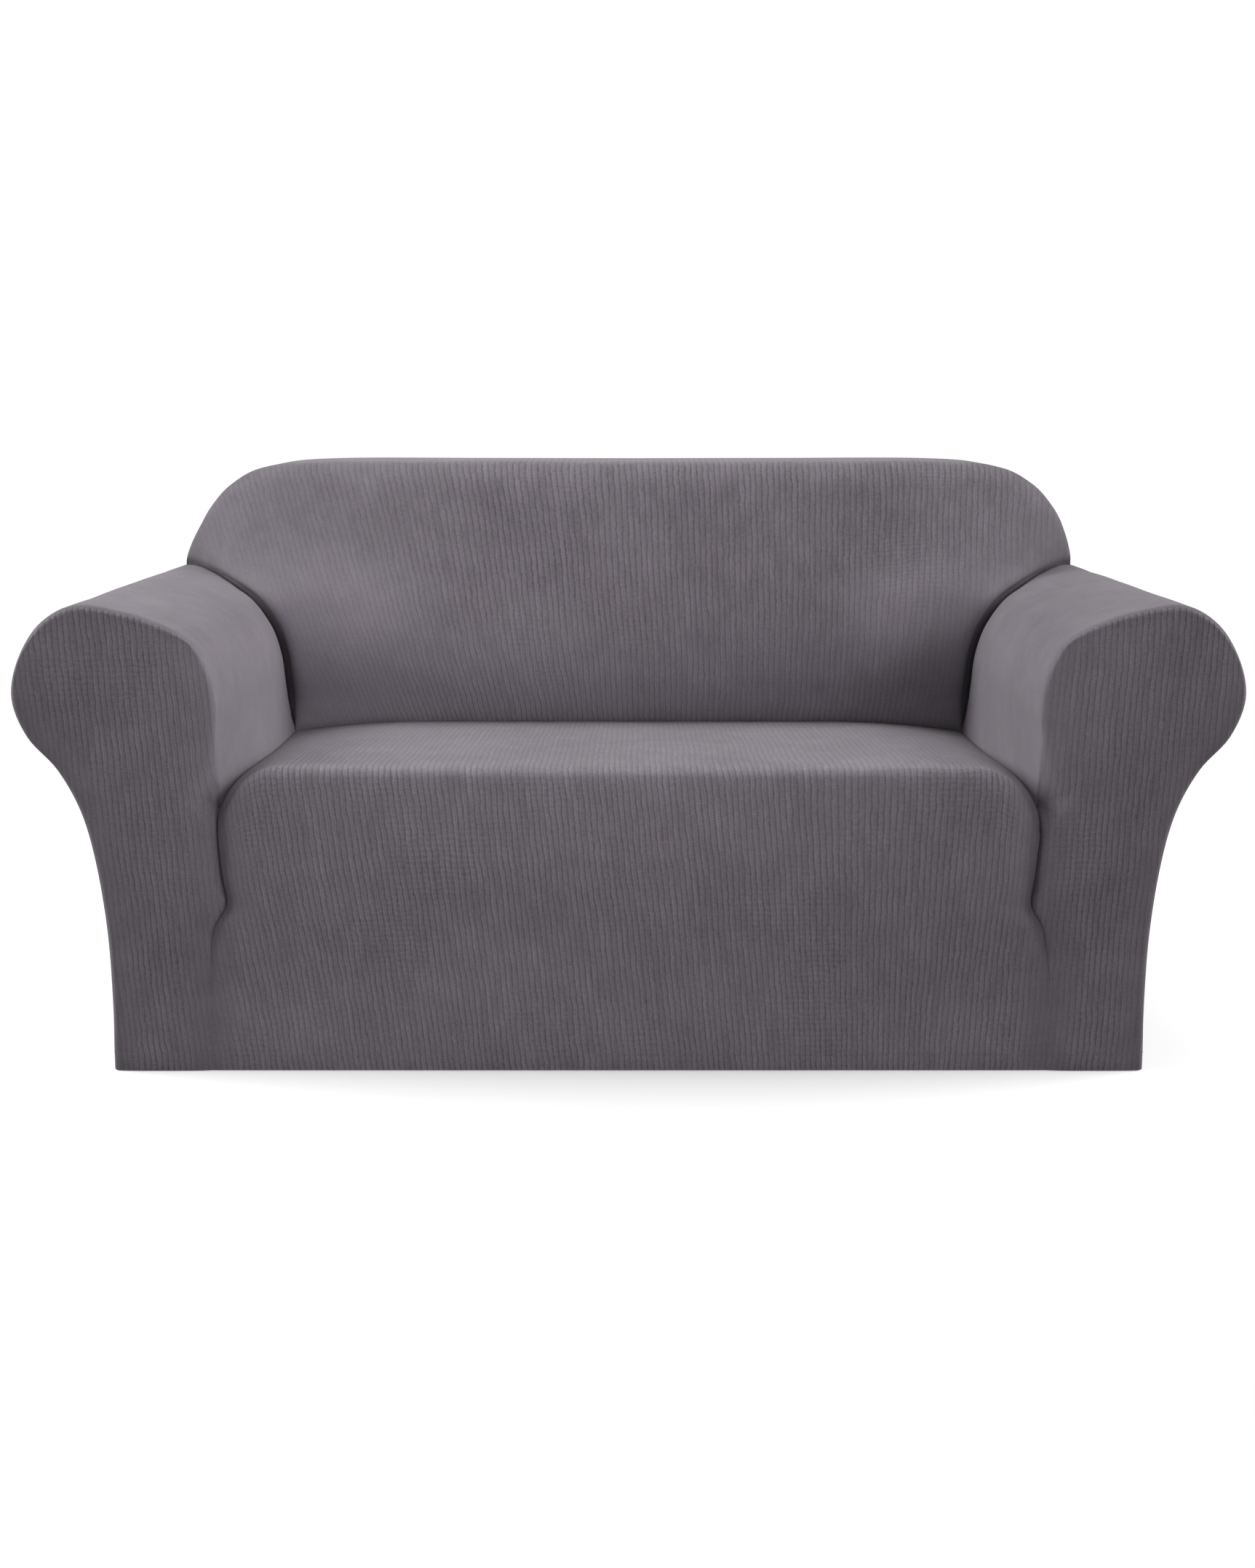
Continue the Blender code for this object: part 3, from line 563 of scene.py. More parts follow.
def sloped(x, left, right, width):
    """An edge that slopes down towards both sides without turning in."""
    return np.clip(1 - np.minimum(x - left, right - x) / width, 0, 1) ** 2


def crease():
    """The line at which the seat meets the back."""
    left, right = seat_side(-1)[0][0], seat_side(1)[0][0]
    x = left[0] + (right[0] - left[0]) * ACROSS
    sink = sloped(x, left[0], right[0], SEAT[0, 4])[:, None]
    return np.column_stack([x, SEAT[0, :2] + (SEAT[0, 2:4] - SEAT[0, :2]) * sink])


def under_back(step, gap, left_x, right_x):
    """The crease's line, pushed down under the back by a share of the tuck's depth."""
    line = crease() + BACK_TUCK * SEAT_TUCKS[0, 3] * step + BACK_TUCK_SIDE * gap
    line[0, 0], line[-1, 0] = left_x, right_x
    return line


# %% How the seat's ribs, tones, painted light and painted shade run
SEAT_RIBS = np.array([
    # row of SEAT_ROWS, how strongly the ribs show
    (0, 0.45), (6, 0.60), (8, 0.75), (10, 1.00), (23, 1.00),
])
SEAT_PAINTED_LIGHT = np.array([
    # distance from the middle, how much lighter the seat's top is: painted light towards its ends, a little
    # painted shade in its middle
    (0.00, -0.09), (0.14, -0.08), (0.38, 0.22), (0.60, 0.24),
])
# Painted shade on the skirt beside the grooves, fading out towards the seat's front edge
SKIRT_SIDE_PAINTED_SHADE, SKIRT_SIDE_WIDTH, SKIRT_SIDE_TOP, SKIRT_SIDE_FADE = 0.12, 0.05, 0.44, 0.10
SMOOTH_SIDE, SIDE_RIBS = 0.06, 0.25
LEAN_LEVEL = 0.25
SKIRT_LEAN = np.array([
    # x, how far the ribs lean: metres across to a metre of height
    (-0.43, -0.13), (-0.20, -0.09), (0.00, -0.11), (0.22, -0.085), (0.33, -0.02), (0.45, 0.04),
])


def leaning(x, z, table, level):
    """The place across ribs that lean, straight below and above a level at which it's x itself."""
    return x - np.interp(x, *np.asarray(table).T) * (z - level)


# %% Make the seat and its skirt
def make_seat():
    sheet = Sheet()
    left, left_tucks = seat_side(-1)
    right, right_tucks = seat_side(1)
    x = left[:, :1] + (right[:, :1] - left[:, :1]) * ACROSS
    sink = sloped(x, left[:, :1], right[:, :1], SEAT[:, 4:5])[:, :, None]
    middle, ends = SEAT[:, None, :2], SEAT[:, None, 2:4]
    points = np.concatenate([x[:, :, None], middle + (ends - middle) * sink], axis=2)
    points[0] -= BACK_TUCK_SIDE * SEAM_GAP
    along = lengths(SEAT[:, :2])
    from_side = np.minimum(x - left[:, :1], right[:, :1] - x)
    ribs = np.interp(SEAT_PLACES, *SEAT_RIBS.T)[:, None]
    ribs = ribs * (SIDE_RIBS + (1 - SIDE_RIBS) * eased(from_side / SMOOTH_SIDE))
    z = points[:, :, 2]
    across = leaning(x, z, SKIRT_LEAN, LEAN_LEVEL)
    # The tone: the darker hem, painted shade beside the grooves and in the creases, painted light towards
    # the seat's ends
    below = eased((SKIRT_SIDE_TOP - z) / SKIRT_SIDE_FADE)
    tone = hem_tone(z) - SKIRT_SIDE_PAINTED_SHADE * beside(from_side, SKIRT_SIDE_WIDTH) * below
    behind_corner = eased(CORNER_ROW + 1 - SEAT_PLACES)[:, None]
    tone = tone + behind_corner * np.interp(abs(x), *SEAT_PAINTED_LIGHT.T)
    shaded = behind_corner * beside(from_side, CREASE_SHADE)
    shaded = np.maximum(shaded, beside(along, CREASE_SHADE)[:, None])
    tone = tone - CREASE_PAINTED_SHADE * shaded
    numbers = sheet.add(points, across, along[:, None], ribs, tone)
    sheet.fill(numbers)
    hem_runs["seat_and_skirt"] = level_run(points[SEAT_PLACES > CORNER_ROW], HEM_STITCH_Z)

    # The free edge runs up the left groove, along the back and down the right groove
    strip = [np.concatenate([numbers[:0:-1, 0], numbers[0], numbers[1:, -1]])]
    knit = sheet.knit[strip[0]]
    for step, left_tuck, right_tuck in zip(TUCK_STEPS, left_tucks, right_tucks):
        behind = under_back(step, -SEAM_GAP, left_tuck[0, 0], right_tuck[0, 0])
        block = np.concatenate([left_tuck[:0:-1], behind, right_tuck[1:]])
        strip.append(sheet.add(block, knit[:, 0], knit[:, 1], 0.0))
    sheet.fill(strip)
    return sheet.piece("seat_and_skirt", (0, -1, 1))


seat = make_seat()

# %% [markdown]
# ## Inside back
#
# The back is a soft crowned form. It is closest to the sitter in the middle, rolls away towards both
# sides and over the top, and ends at the seam with the outside back. Its outline seen from the front is a
# table, and so is its section down the middle. A Coons patch spans the four edges, and then its middle is
# pulled to the section.

# %% The back's tables
BACK_OUTLINE = np.array([
    # x, z, from the arm's ridge to the middle of the top
    (0.7480, 0.7098), (0.7442, 0.7280), (0.7300, 0.7625), (0.7060, 0.8040), (0.6680, 0.8430),
    (0.6100, 0.8705), (0.5000, 0.8795), (0.2500, 0.8795), (0.0000, 0.8790),
])
SIDE_Y, TOP_Y = 0.660, 0.640
BACK_SHIFT, SHIFT_WITHIN = 0.0055, 0.045
BACK_MIDDLE = np.array([
    # share of the height, y, z
    (0.000, 0.575, 0.4525),
    (0.100, 0.548, 0.4870),
    (0.220, 0.525, 0.5300),
    (0.360, 0.513, 0.5850),
    (0.500, 0.515, 0.6450),
    (0.620, 0.525, 0.7000),
    (0.740, 0.540, 0.7550),
    (0.850, 0.557, 0.8100),
    (0.930, 0.573, 0.8500),
    (0.975, 0.596, 0.8725),
    (1.000, 0.640, 0.8790),
])
BACK_SIDE_ROLL = 0.035
RIDGE_TUCK = 0.008


# %% Outline, sides and patch
def patch(bottom, top, left, right, u, v):
    """A surface between four curves: its rows follow bottom and top, and its columns left and right."""
    u, v = u[None, :, None], v[:, None, None]
    rows = (1 - v) * bottom[None] + v * top[None]
    columns = (1 - u) * left[:, None] + u * right[:, None]
    corners = (1 - v) * ((1 - u) * left[0] + u * right[0]) + v * ((1 - u) * left[-1] + u * right[-1])
    return rows + columns - corners


def back_outline():
    """The back's outline at the columns, from left to right over the top, and how deep it lies."""
    fine = through(BACK_OUTLINE, np.linspace(0, len(BACK_OUTLINE) - 1, 600))
    fine = np.concatenate([fine * (-1, 1), fine[-2::-1]])
    line = np.stack([np.interp(ACROSS, shares(fine), column) for column in fine.T], axis=1)
    line[:, 0] += BACK_SHIFT * np.clip(np.minimum(ACROSS, 1 - ACROSS) / SHIFT_WITHIN, 0, 1)
    return line, SIDE_Y + (TOP_Y - SIDE_Y) * np.sin(np.pi * ACROSS) ** 0.5


def outline_normals(line):
    run = np.gradient(line, axis=0)
    run /= np.linalg.norm(run, axis=1)[:, None]
    normals = np.stack([-run[:, 1], run[:, 0]], axis=1)
    normals[[0, -1]] = (-1, 0), (1, 0)
    return normals


BACK_PLACES = SEAT_CORNER + np.arange((RIDGE - SEAT_CORNER) * ARM_STEPS + 1) / ARM_STEPS


def back_side():
    """The right side of the back on the arm: its edge, the face before it, and the tuck behind it."""
    _, back_y, tuck, _ = at_back(BACK_PLACES)
    mouth = back_mouth(BACK_PLACES)
    opening = creased(BACK_PLACES)
    face = arm_points(BACK_PLACES, back_y, MOUTH_GAP + BACK_STANDS_OFF * opening)
    edge = face + np.outer(mouth, (0, 1, 0))
    face[0] = edge[0] = crease()[-1]
    turn = np.clip(1 - (BACK_PLACES - SEAT_CORNER) / MOUTH_WIDENS, 0, 1)[:, None] ** MOUTH_TURN
    direction = turn * BACK_TUCK + (1 - turn) * (0, 1, 0)
    direction /= np.linalg.norm(direction, axis=1)[:, None]
    tucks = []
    for step in TUCK_STEPS:
        down = edge + direction * tuck[:, None] * step
        on_wall = np.column_stack([arm_wall_x(down[:, 1], down[:, 2]) - MOUTH_GAP, down[:, 1:]])
        still = closing(step)
        proud = MOUTH_GAP + opening * (BACK_STANDS_OFF * still - BACK_OPEN * (1 - still))
        on_roll = arm_points(BACK_PLACES, down[:, 1], proud)
        on_wall[:, 0] += MOUTH_GAP - proud
        tucks.append(np.where(turn > 0, on_wall, on_roll))
    return face, mouth, tucks


# %% How the back's ribs, painted light and painted shade run
BACK_FAN = 0.12
BACK_PITCH = 1.10
LEFT_SMOOTHER, SMOOTHER_FROM, SMOOTHER_OVER = 0.45, 0.15, 0.35
TOP_SMOOTHER, TOP_FROM = 0.5, 0.9
BACK_RIBS = np.array([
    # distance from the side, how strongly the ribs show
    (0.00, 0.10), (0.05, 0.25), (0.16, 0.70), (0.30, 0.90), (1.00, 0.90),
])
BACK_PAINTED_LIGHT = np.array([
    # share of the height, tone: painted light low on the back, painted shade towards its top
    (0.00, 1.48), (0.08, 1.43), (0.24, 1.17), (0.38, 0.94),
    (0.52, 0.84), (0.80, 0.84), (0.93, 0.74), (1.00, 0.72),
])
# Painted light at the back's sides, about halfway up beside the arms
BACK_SIDE_PAINTED_LIGHT, LIFT_FROM, LIFT_OVER, LIFT_HEIGHT, LIFT_REACH = 0.40, 0.28, 0.17, 0.38, 0.26
BACK_LEAN = np.array([
    # x, how far the ribs lean
    (-0.60, -0.17), (-0.43, -0.16), (-0.20, -0.09), (0.00, -0.05), (0.43, -0.06),
])
BACK_LEAN_TOP, BACK_LEAN_LEVEL = 0.87, 0.65
OVER_THE_TOP = np.array([0.672, 0.695, 0.720, 0.745, 0.765, 0.782, 0.792])
LEAST_ROLL = 0.004


# %% Make the inside back
def make_inside_back():
    sheet = Sheet()
    face, mouth, tucks = back_side()
    up = shares(face)
    line, line_y = back_outline()
    outline = np.stack([line[:, 0], line_y, line[:, 1]], axis=1)
    outline[[0, -1]] = face[-1] * (-1, 1, 1), face[-1]
    points = patch(crease(), outline, face * (-1, 1, 1), face, ACROSS, up)

    # The middle follows its own section, and the sides keep theirs
    middle = through(BACK_MIDDLE[:, 1:], np.interp(up, BACK_MIDDLE[:, 0], np.arange(len(BACK_MIDDLE))))
    change = middle - points[:, len(ACROSS) // 2, 1:]
    points[:, :, 1:] += change[:, None] * (1 - (2 * ACROSS - 1) ** 4)[None, :, None]
    reach = np.minimum(ACROSS, 1 - ACROSS) * np.ptp(points[:, :, 0], axis=1)[:, None]
    points[:, :, 1] += mouth[:, None] * sunk(reach, BACK_SIDE_ROLL)
    points[0] += BACK_TUCK_SIDE * SEAM_GAP

    # Over the top and the sides to the rear seam
    normals = outline_normals(line)
    over = []
    past_ridge = line_y + RIDGE_TUCK
    for y in (past_ridge, *(np.maximum(y, past_ridge + LEAST_ROLL) for y in OVER_THE_TOP)):
        over.append(np.stack([outline[:, 0], y, outline[:, 2]], axis=1))
    for distance in REAR_STEPS:
        rolled = line - normals * arris(distance)
        depth = np.full(len(line), REAR - ARRIS_DROP - distance)
        over.append(np.stack([rolled[:, 0], depth, rolled[:, 1]], axis=1))
    for row in over:
        row[[0, -1], 2] = arm_points(RIDGE, row[0, 1], MOUTH_GAP)[0, 2]
    points = np.concatenate([points, over])

    # The ribs fan out a little towards the top
    along = lengths(points[:, len(ACROSS) // 2])[:, None]
    height = np.minimum(along / along[len(up) - 1], 1)
    fanned = points[:, :, 0] / (BACK_PITCH * (1 + BACK_FAN * height))
    across = leaning(fanned, np.minimum(points[:, :, 2], BACK_LEAN_TOP), BACK_LEAN, BACK_LEAN_LEVEL)
    side_distance = np.minimum(lengths(line), lengths(line)[-1] - lengths(line))
    ribs = np.interp(side_distance, *BACK_RIBS.T)[None]
    ribs = ribs * (1 - TOP_SMOOTHER * eased((height - TOP_FROM) / (1 - TOP_FROM)))
    ribs = ribs * (1 - LEFT_SMOOTHER * eased((-points[:, :, 0] - SMOOTHER_FROM) / SMOOTHER_OVER))
    # Painted light low on the back and at its sides, painted shade towards its top and beside the creases
    at_sides = eased((abs(points[:, :, 0]) - LIFT_FROM) / LIFT_OVER)
    painted_light_at_sides = at_sides * beside(abs(height - LIFT_HEIGHT), LIFT_REACH)
    tone = np.interp(height, *BACK_PAINTED_LIGHT.T) + BACK_SIDE_PAINTED_LIGHT * painted_light_at_sides
    tone[:len(up)] -= CREASE_PAINTED_SHADE * beside(np.minimum(reach, along[:len(up)]), CREASE_SHADE)
    numbers = sheet.add(points, across, along, ribs, tone)
    sheet.fill(numbers)

    # The cloth that goes down into the tucks joins the side walls where they reach the arms
    last = len(up) - 1
    rim = np.concatenate([numbers[last:0:-1, 0], numbers[0], numbers[1:last + 1, -1]])
    knit = sheet.knit[rim[1:-1]]
    wall = numbers[last + 1]
    strip = [rim]
    for side, step in zip(tucks, TUCK_STEPS):
        behind = under_back(step, SEAM_GAP, -side[0, 0], side[0, 0])
        block = np.concatenate([side[last - 1:0:-1] * (-1, 1, 1), behind, side[1:last]])
        down = sheet.add(block, knit[:, 0], knit[:, 1], 0.0)
        strip.append(np.concatenate([wall[:1], down, wall[-1:]]))
    sheet.fill(strip)
    return sheet.piece("back_front", (0, -1, 0))


inside_back = make_inside_back()

# %% [markdown]
# ## Outside back
#
# The rear panel is flat apart from a slight crown, and reaches from one arm's outline over the top to the
# other one's. It lies inside the turned-over edges of its neighbours, which is how such a seam looks from
# outside.

# %% Make the outside back
OUTSIDE_CROWN = 0.006
OUTSIDE_RIBS, OUTSIDE_SIDE_RIBS = 0.9, 0.3
STRAIGHT_FROM = 0.21
STRAIGHT_TOP = int(np.argmin(abs(ACROSS - STRAIGHT_FROM)))


def make_outside_back():
    sheet = Sheet()
    line, _ = back_outline()
    inset = ARRIS_DROP + SEAM_GAP
    arm_places = np.arange(ARM_ROWS, RIDGE - 1e-6, -1 / ARM_STEPS)
    arm = arm_points(arm_places, REAR, -inset)[:, ::2]
    arm[0, 1] = HEM
    line = line - outline_normals(line) * inset
    outline = np.concatenate([arm * (-1, 1), line[1:-1], arm[::-1]])
    rows = len(arm) + STRAIGHT_TOP
    left, right = outline[:rows], outline[:-rows - 1:-1]
    start = ACROSS[STRAIGHT_TOP]
    share = (ACROSS[STRAIGHT_TOP:len(ACROSS) - STRAIGHT_TOP] - start) / (1 - 2 * start)
    flat = left[:, None] + (right - left)[:, None] * share[None, :, None]
    flat[-1] = outline[rows - 1:len(outline) - rows + 1]
    up = (flat[:, :, 1] - HEM) / np.ptp(flat[:, :, 1])
    crown = OUTSIDE_CROWN * (1 - (2 * share - 1) ** 4)[None] * (1 - (2 * up - 1) ** 6)
    depth = REAR + crown
    depth[:, [0, -1]] = REAR - ARRIS_DROP
    depth[-1] = REAR - ARRIS_DROP
    points = np.stack([flat[:, :, 0], depth, flat[:, :, 1]], axis=2)
    from_side = np.minimum(share, 1 - share)[None] * np.ptp(flat[:, :, 0], axis=1)[:, None]
    ribs = OUTSIDE_SIDE_RIBS + (OUTSIDE_RIBS - OUTSIDE_SIDE_RIBS) * eased(from_side / SMOOTH_SIDE)
    numbers = sheet.add(points, flat[:, :, 0], flat[:, :, 1], ribs)
    sheet.fill(numbers)
    hem_runs["back_rear"] = level_run(points[:len(points) // 2], HEM_STITCH_Z)
    return sheet.piece("back_rear", (0, 1, 0))


outside_back = make_outside_back()

# %% [markdown]
# ## Arm fronts
#
# The arm's front is a scroll-shaped panel. Its outer edge lies just inside the wrap, from the hem round
# the roll. Its inner edge follows the groove beside the skirt, then butts against the wrap, which starts
# further back there, and then lies inside the wrap again. Rungs between the two edges make the grid, and
# a short table says which point of one edge each rung joins to which point of the other.

# %% The arm fronts' numbers
ARM_FRONT_CROWN, HEM_CROWN, CROWN_FROM, CROWN_OVER = 0.008, 0.25, 0.12, 0.35
FRONT_SIDE_RIBS = 0.35
FRONT_LEAN, FRONT_LEAN_LEVEL = {-1: -0.06, 1: 0.03}, 0.3
# Painted shade along the front's outline, and the front darker towards its bottom
RIM_PAINTED_SHADE, RIM_WIDTH = 0.12, 0.030
LOW_DARKER, LOW_TOP, LOW_FADE = 0.13, 0.50, 0.35
CORNER_DEEPER, CORNER_FROM_Z = 0.012, 0.390
CORNER_ROUND, ROUNDED_BEYOND = 0.8, 0.010
BUTTED_FROM, BUTTED_TO = 2, 3
GROOVE_RUNGS = 15
RUNGS = np.array([
    # steps up the inner edge: 0 to 15 beside the skirt, 16 to 26 on the arm; place on the outer edge
    (0, 21.0), (2, 19.5), (4, 18.6), (8, 17.4), (12, 16.6), (15, 16.1), (17, 15.5), (20, 14.5), (23, 13.0),
    (26, 12.0),
])
EVEN_UNTIL = 0.4
CLOSER_STEPS = np.array([0.36, 0.28, 0.20, 0.13, 0.07, 0.03, 0.0])
FRONT_COLUMNS = 56


def inset_arm(places):
    """The arm's section, drawn in as far as the arm front lies inside the wrap."""
    line, normals = arm_section(places)
    line = line - normals * (ARRIS_DROP + SEAM_GAP)
    line[np.asarray(places) >= ARM_ROWS, 1] = HEM
    return line


# %% Make the arm fronts
def make_arm_front(side, name):
    sheet = Sheet()
    beside_skirt = SEAT_PLACES >= CORNER_ROW
    levels = SEAT[beside_skirt, 3][::-1]
    opening = np.interp(levels, *CREASE_OPENINGS.T)
    groove = np.stack([groove_x(levels, side) + SEAM_GAP + opening, levels], axis=1)
    butted = BUTTED_FROM + np.arange((BUTTED_TO - BUTTED_FROM) * ARM_STEPS + 1) / ARM_STEPS
    upper = np.concatenate([
        np.arange(BUTTED_TO + 1 / ARM_STEPS, FRONT_TOP_TO - EVEN_UNTIL, 1 / ARM_STEPS),
        FRONT_TOP_TO - CLOSER_STEPS,
    ])
    sewn = np.concatenate([butted, upper])
    edge_y = at_back(sewn)[3] + ARRIS_DROP
    meeting = arm_points(sewn, edge_y, -ARRIS_DROP - SEAM_GAP)[:, ::2]
    inner = np.concatenate([groove, meeting])
    behind_seat = CORNER_DEEPER * eased((levels - CORNER_FROM_Z) / (levels[-1] - CORNER_FROM_Z))
    dip = np.concatenate([SEAT[beside_skirt, 2][::-1] + behind_seat, edge_y])
    round_off = (SEAM_ROLL + CORNER_ROUND * np.maximum(dip - ROUNDED_BEYOND, 0))[:, None]
    arrised = np.concatenate([np.zeros(len(groove)), np.ones(len(sewn))])[:, None]
    climbed = len(SEAT_ROWS) - 1 - SEAT_PLACES[beside_skirt][::-1]
    on_arm = GROOVE_RUNGS + 1 + 2 * (sewn - BUTTED_FROM)
    outer = inset_arm(np.interp(np.concatenate([climbed, on_arm]), *RUNGS.T))

    swing = 0.5 - 0.5 * np.cos(np.linspace(0, np.pi, FRONT_COLUMNS))
    top = inset_arm(FRONT_TOP_FROM + (FRONT_TOP_TO - FRONT_TOP_FROM) * swing)
    u = shares(top)
    v = (shares(outer) + shares(inner)) / 2
    hem = outer[0] + (inner[0] - outer[0]) * u[:, None]
    flat = patch(hem, top, outer, inner, u, v)
    width = np.linalg.norm(flat[:, -1] - flat[:, 0], axis=1)[:, None]
    height = np.linalg.norm(flat[-1] - flat[0], axis=1)[None]
    up = v[:, None]
    fuller = HEM_CROWN + (1 - HEM_CROWN) * eased((up - CROWN_FROM) / CROWN_OVER)
    crown = ARM_FRONT_CROWN * fuller * (1 - up**8)
    from_inner = (1 - u)[None] * width
    turned = np.maximum(arris(u[None] * width), arris((1 - up) * height))
    turned = np.maximum(turned, arrised * arris(from_inner))
    y = turned - crown * (1 - (2 * u - 1) ** 4)[None]
    y = y + (dip[:, None] - arrised * ARRIS_DROP) * sunk(from_inner, round_off)
    points = np.stack([side * flat[:, :, 0], y, flat[:, :, 1]], axis=2)
    from_side = np.minimum(u, 1 - u)[None] * width
    ribs = FRONT_SIDE_RIBS + (1 - FRONT_SIDE_RIBS) * eased(from_side / SMOOTH_SIDE)
    z = points[:, :, 2]
    across = points[:, :, 0] - FRONT_LEAN[side] * (z - FRONT_LEAN_LEVEL)
    # The tone: the darker hem, painted shade along the outline, and darker towards the bottom
    from_outline = np.minimum(u[None] * width, (1 - up) * height)
    tone = hem_tone(z) - RIM_PAINTED_SHADE * beside(from_outline, RIM_WIDTH)
    tone = tone - LOW_DARKER * eased((LOW_TOP - z) / LOW_FADE)
    numbers = sheet.add(points, across, z, ribs, tone)
    sheet.fill(numbers)
    hem_runs[name] = level_run(points[:GROOVE_RUNGS], HEM_STITCH_Z)

    # Beside the skirt the cloth goes on into the groove
    count = len(levels)
    rim = numbers[:count, -1]
    depth = np.interp(levels, GROOVE[::-1, 0], GROOVE[::-1, 3])
    strip = [rim]
    for step in TUCK_STEPS:
        behind = points[:count, -1] + np.outer(depth * step, (0, 1, 0))
        behind[:, 0] -= side * opening * (1 - closing(step))
        strip.append(sheet.add(behind, behind[:, 0], behind[:, 2], 0.0))
    sheet.fill(strip)
    return sheet.piece(name, (0, -1, 0))


arm_fronts = [make_arm_front(-1, "arm_scroll_left"), make_arm_front(1, "arm_scroll_right")]

# %% [markdown]
# ## Node trees written as sums
#
# Shader and geometry trees are much easier to read as formulas than as boxes and wires. `Field` wraps one
# output socket, and its operators add a Math node each. `Tree.node` makes any other node: first its
# settings, then the values or links of its sockets.

# %% Fields and trees
class Field:
    """A number that varies over a surface."""

    def __init__(self, tree, socket):
        self.tree = tree
        self.socket = socket

    def maths(self, operation, *values):
        return self.tree.node("ShaderNodeMath", {"operation": operation}, dict(enumerate(values)))

    def __add__(self, other):
        return self.maths("ADD", self, other)

    def __sub__(self, other):
        return self.maths("SUBTRACT", self, other)

    def __rsub__(self, other):
        return self.maths("SUBTRACT", other, self)

    def __mul__(self, other):
        return self.maths("MULTIPLY", self, other)

    def __truediv__(self, other):
        return self.maths("DIVIDE", self, other)

    def __rtruediv__(self, other):
        return self.maths("DIVIDE", other, self)

    def sine(self):
        return self.maths("SINE", self)

    def clamped(self):
        """The field, held between 0 and 1."""
        settings = {"operation": "MULTIPLY", "use_clamp": True}
        return self.tree.node("ShaderNodeMath", settings, {0: self, 1: 1.0})

    def also(self, name):
        """Another output of the node that this one comes from."""
        return Field(self.tree, self.socket.node.outputs[name])

    __radd__ = __add__
    __rmul__ = __mul__


class Tree:
    """Adds nodes to one node tree."""

    def __init__(self, nodes):
        self.nodes = nodes.nodes
        self.links = nodes.links

    def node(self, kind, settings=None, inputs=None, output=0):
        """Makes a node and returns one of its outputs."""
        made = self.nodes.new(kind)
        for name, value in (settings or {}).items():
            setattr(made, name, value)
        for name, value in (inputs or {}).items():
            self.give(self.find(made.inputs, name), value)
        return Field(self, self.find(made.outputs, output)) if made.outputs else None

    def find(self, sockets, name):
        if isinstance(name, int):
            return sockets[name]
        return next((socket for socket in sockets if socket.identifier == name), None) or sockets[name]

    def give(self, socket, value):
        if isinstance(value, Field):
            self.links.new(value.socket, socket)
        else:
            socket.default_value = value

    def noise(self, vector, scale, detail, seed=None):
        """Smooth noise from 0 to 1; with a seed it is a slice of a noise in four dimensions."""
        inputs = {"Vector": vector, "Scale": scale, "Detail": detail}
        if seed is None:
            return self.node("ShaderNodeTexNoise", {"noise_dimensions": "3D"}, inputs)
        return self.node("ShaderNodeTexNoise", {"noise_dimensions": "4D"}, {**inputs, "W": seed})


# %% [markdown]
# ## A little unevenness, and a thickness
#
# Cloth over padding is never quite true: it swells and sinks by a millimetre or two. A small Geometry
# Nodes tree moves every point along its normal by a smooth noise, and leaves the edges alone, because the
# seams have to stay closed. It works on all panels alike, with a fixed seed and its sizes as inputs. A
# Solidify modifier then gives the sheet its thickness, and the result becomes a plain mesh.

# %% The tree for unevenness
def group_with(name, numbers):
    """An empty geometry group whose inputs are the geometry, these numbers and a material."""
    group = bpy.data.node_groups.new(name, "GeometryNodeTree")
    group.interface.new_socket("Geometry", in_out="INPUT", socket_type="NodeSocketGeometry")
    for label, value in numbers.items():
        kind = "NodeSocketInt" if isinstance(value, int) else "NodeSocketFloat"
        group.interface.new_socket(label, in_out="INPUT", socket_type=kind).default_value = value
    group.interface.new_socket("Finish", in_out="INPUT", socket_type="NodeSocketMaterial")
    group.interface.new_socket("Geometry", in_out="OUTPUT", socket_type="NodeSocketGeometry")
    return group


def ends_in(tree, geometry, entry):
    """Realizes the geometry, gives it its material and leads it out."""
    real = tree.node("GeometryNodeRealizeInstances", {}, {"Geometry": geometry})
    finished = tree.node("GeometryNodeSetMaterial", {}, {"Geometry": real, "Material": entry("Finish")})
    tree.node("NodeGroupOutput", {}, {0: finished})


def entries(tree):
    """A function that gives the group's input of a name."""
    start = tree.nodes.new("NodeGroupInput")
    return lambda name: Field(tree, start.outputs[name])


def uneven_cloth():
    group = group_with("Uneven cloth", {"Height": 0.0, "Size": 0.1, "Seed": 1})
    tree = Tree(group)
    entry = entries(tree)
    place = tree.node("GeometryNodeInputPosition")
    swell = tree.noise(place, 1 / entry("Size"), 1.5, entry("Seed"))
    loose = tree.node("GeometryNodeInputNamedAttribute", {"data_type": "FLOAT"}, {"Name": LOOSE})
    amount = (swell - 0.5) * entry("Height") * loose
    normal = tree.node("GeometryNodeInputNormal")
    push = tree.node("ShaderNodeVectorMath", {"operation": "SCALE"}, {"Vector": normal, "Scale": amount})
    moved = tree.node("GeometryNodeSetPosition", {}, {"Geometry": entry("Geometry"), "Offset": push})
    ends_in(tree, moved, entry)
    return group


UNEVEN = uneven_cloth()
print("nodes in the tree for unevenness:", len(UNEVEN.nodes))


# %% [markdown]
# ## The ribbed knit
#
# The cloth is a rib knit in a warm grey: rounded ribs about 8 mm apart, tiny knots along each rib, and
# yarn that isn't dyed quite evenly. Soft light from all around hardly shades ribs that are under a
# millimetre high, so the ribs are sunk and also painted: painted shade in their valleys and painted light
# on their crests. Where the cloth is stretched hardest the ribs fade, and that strength comes with the mesh.

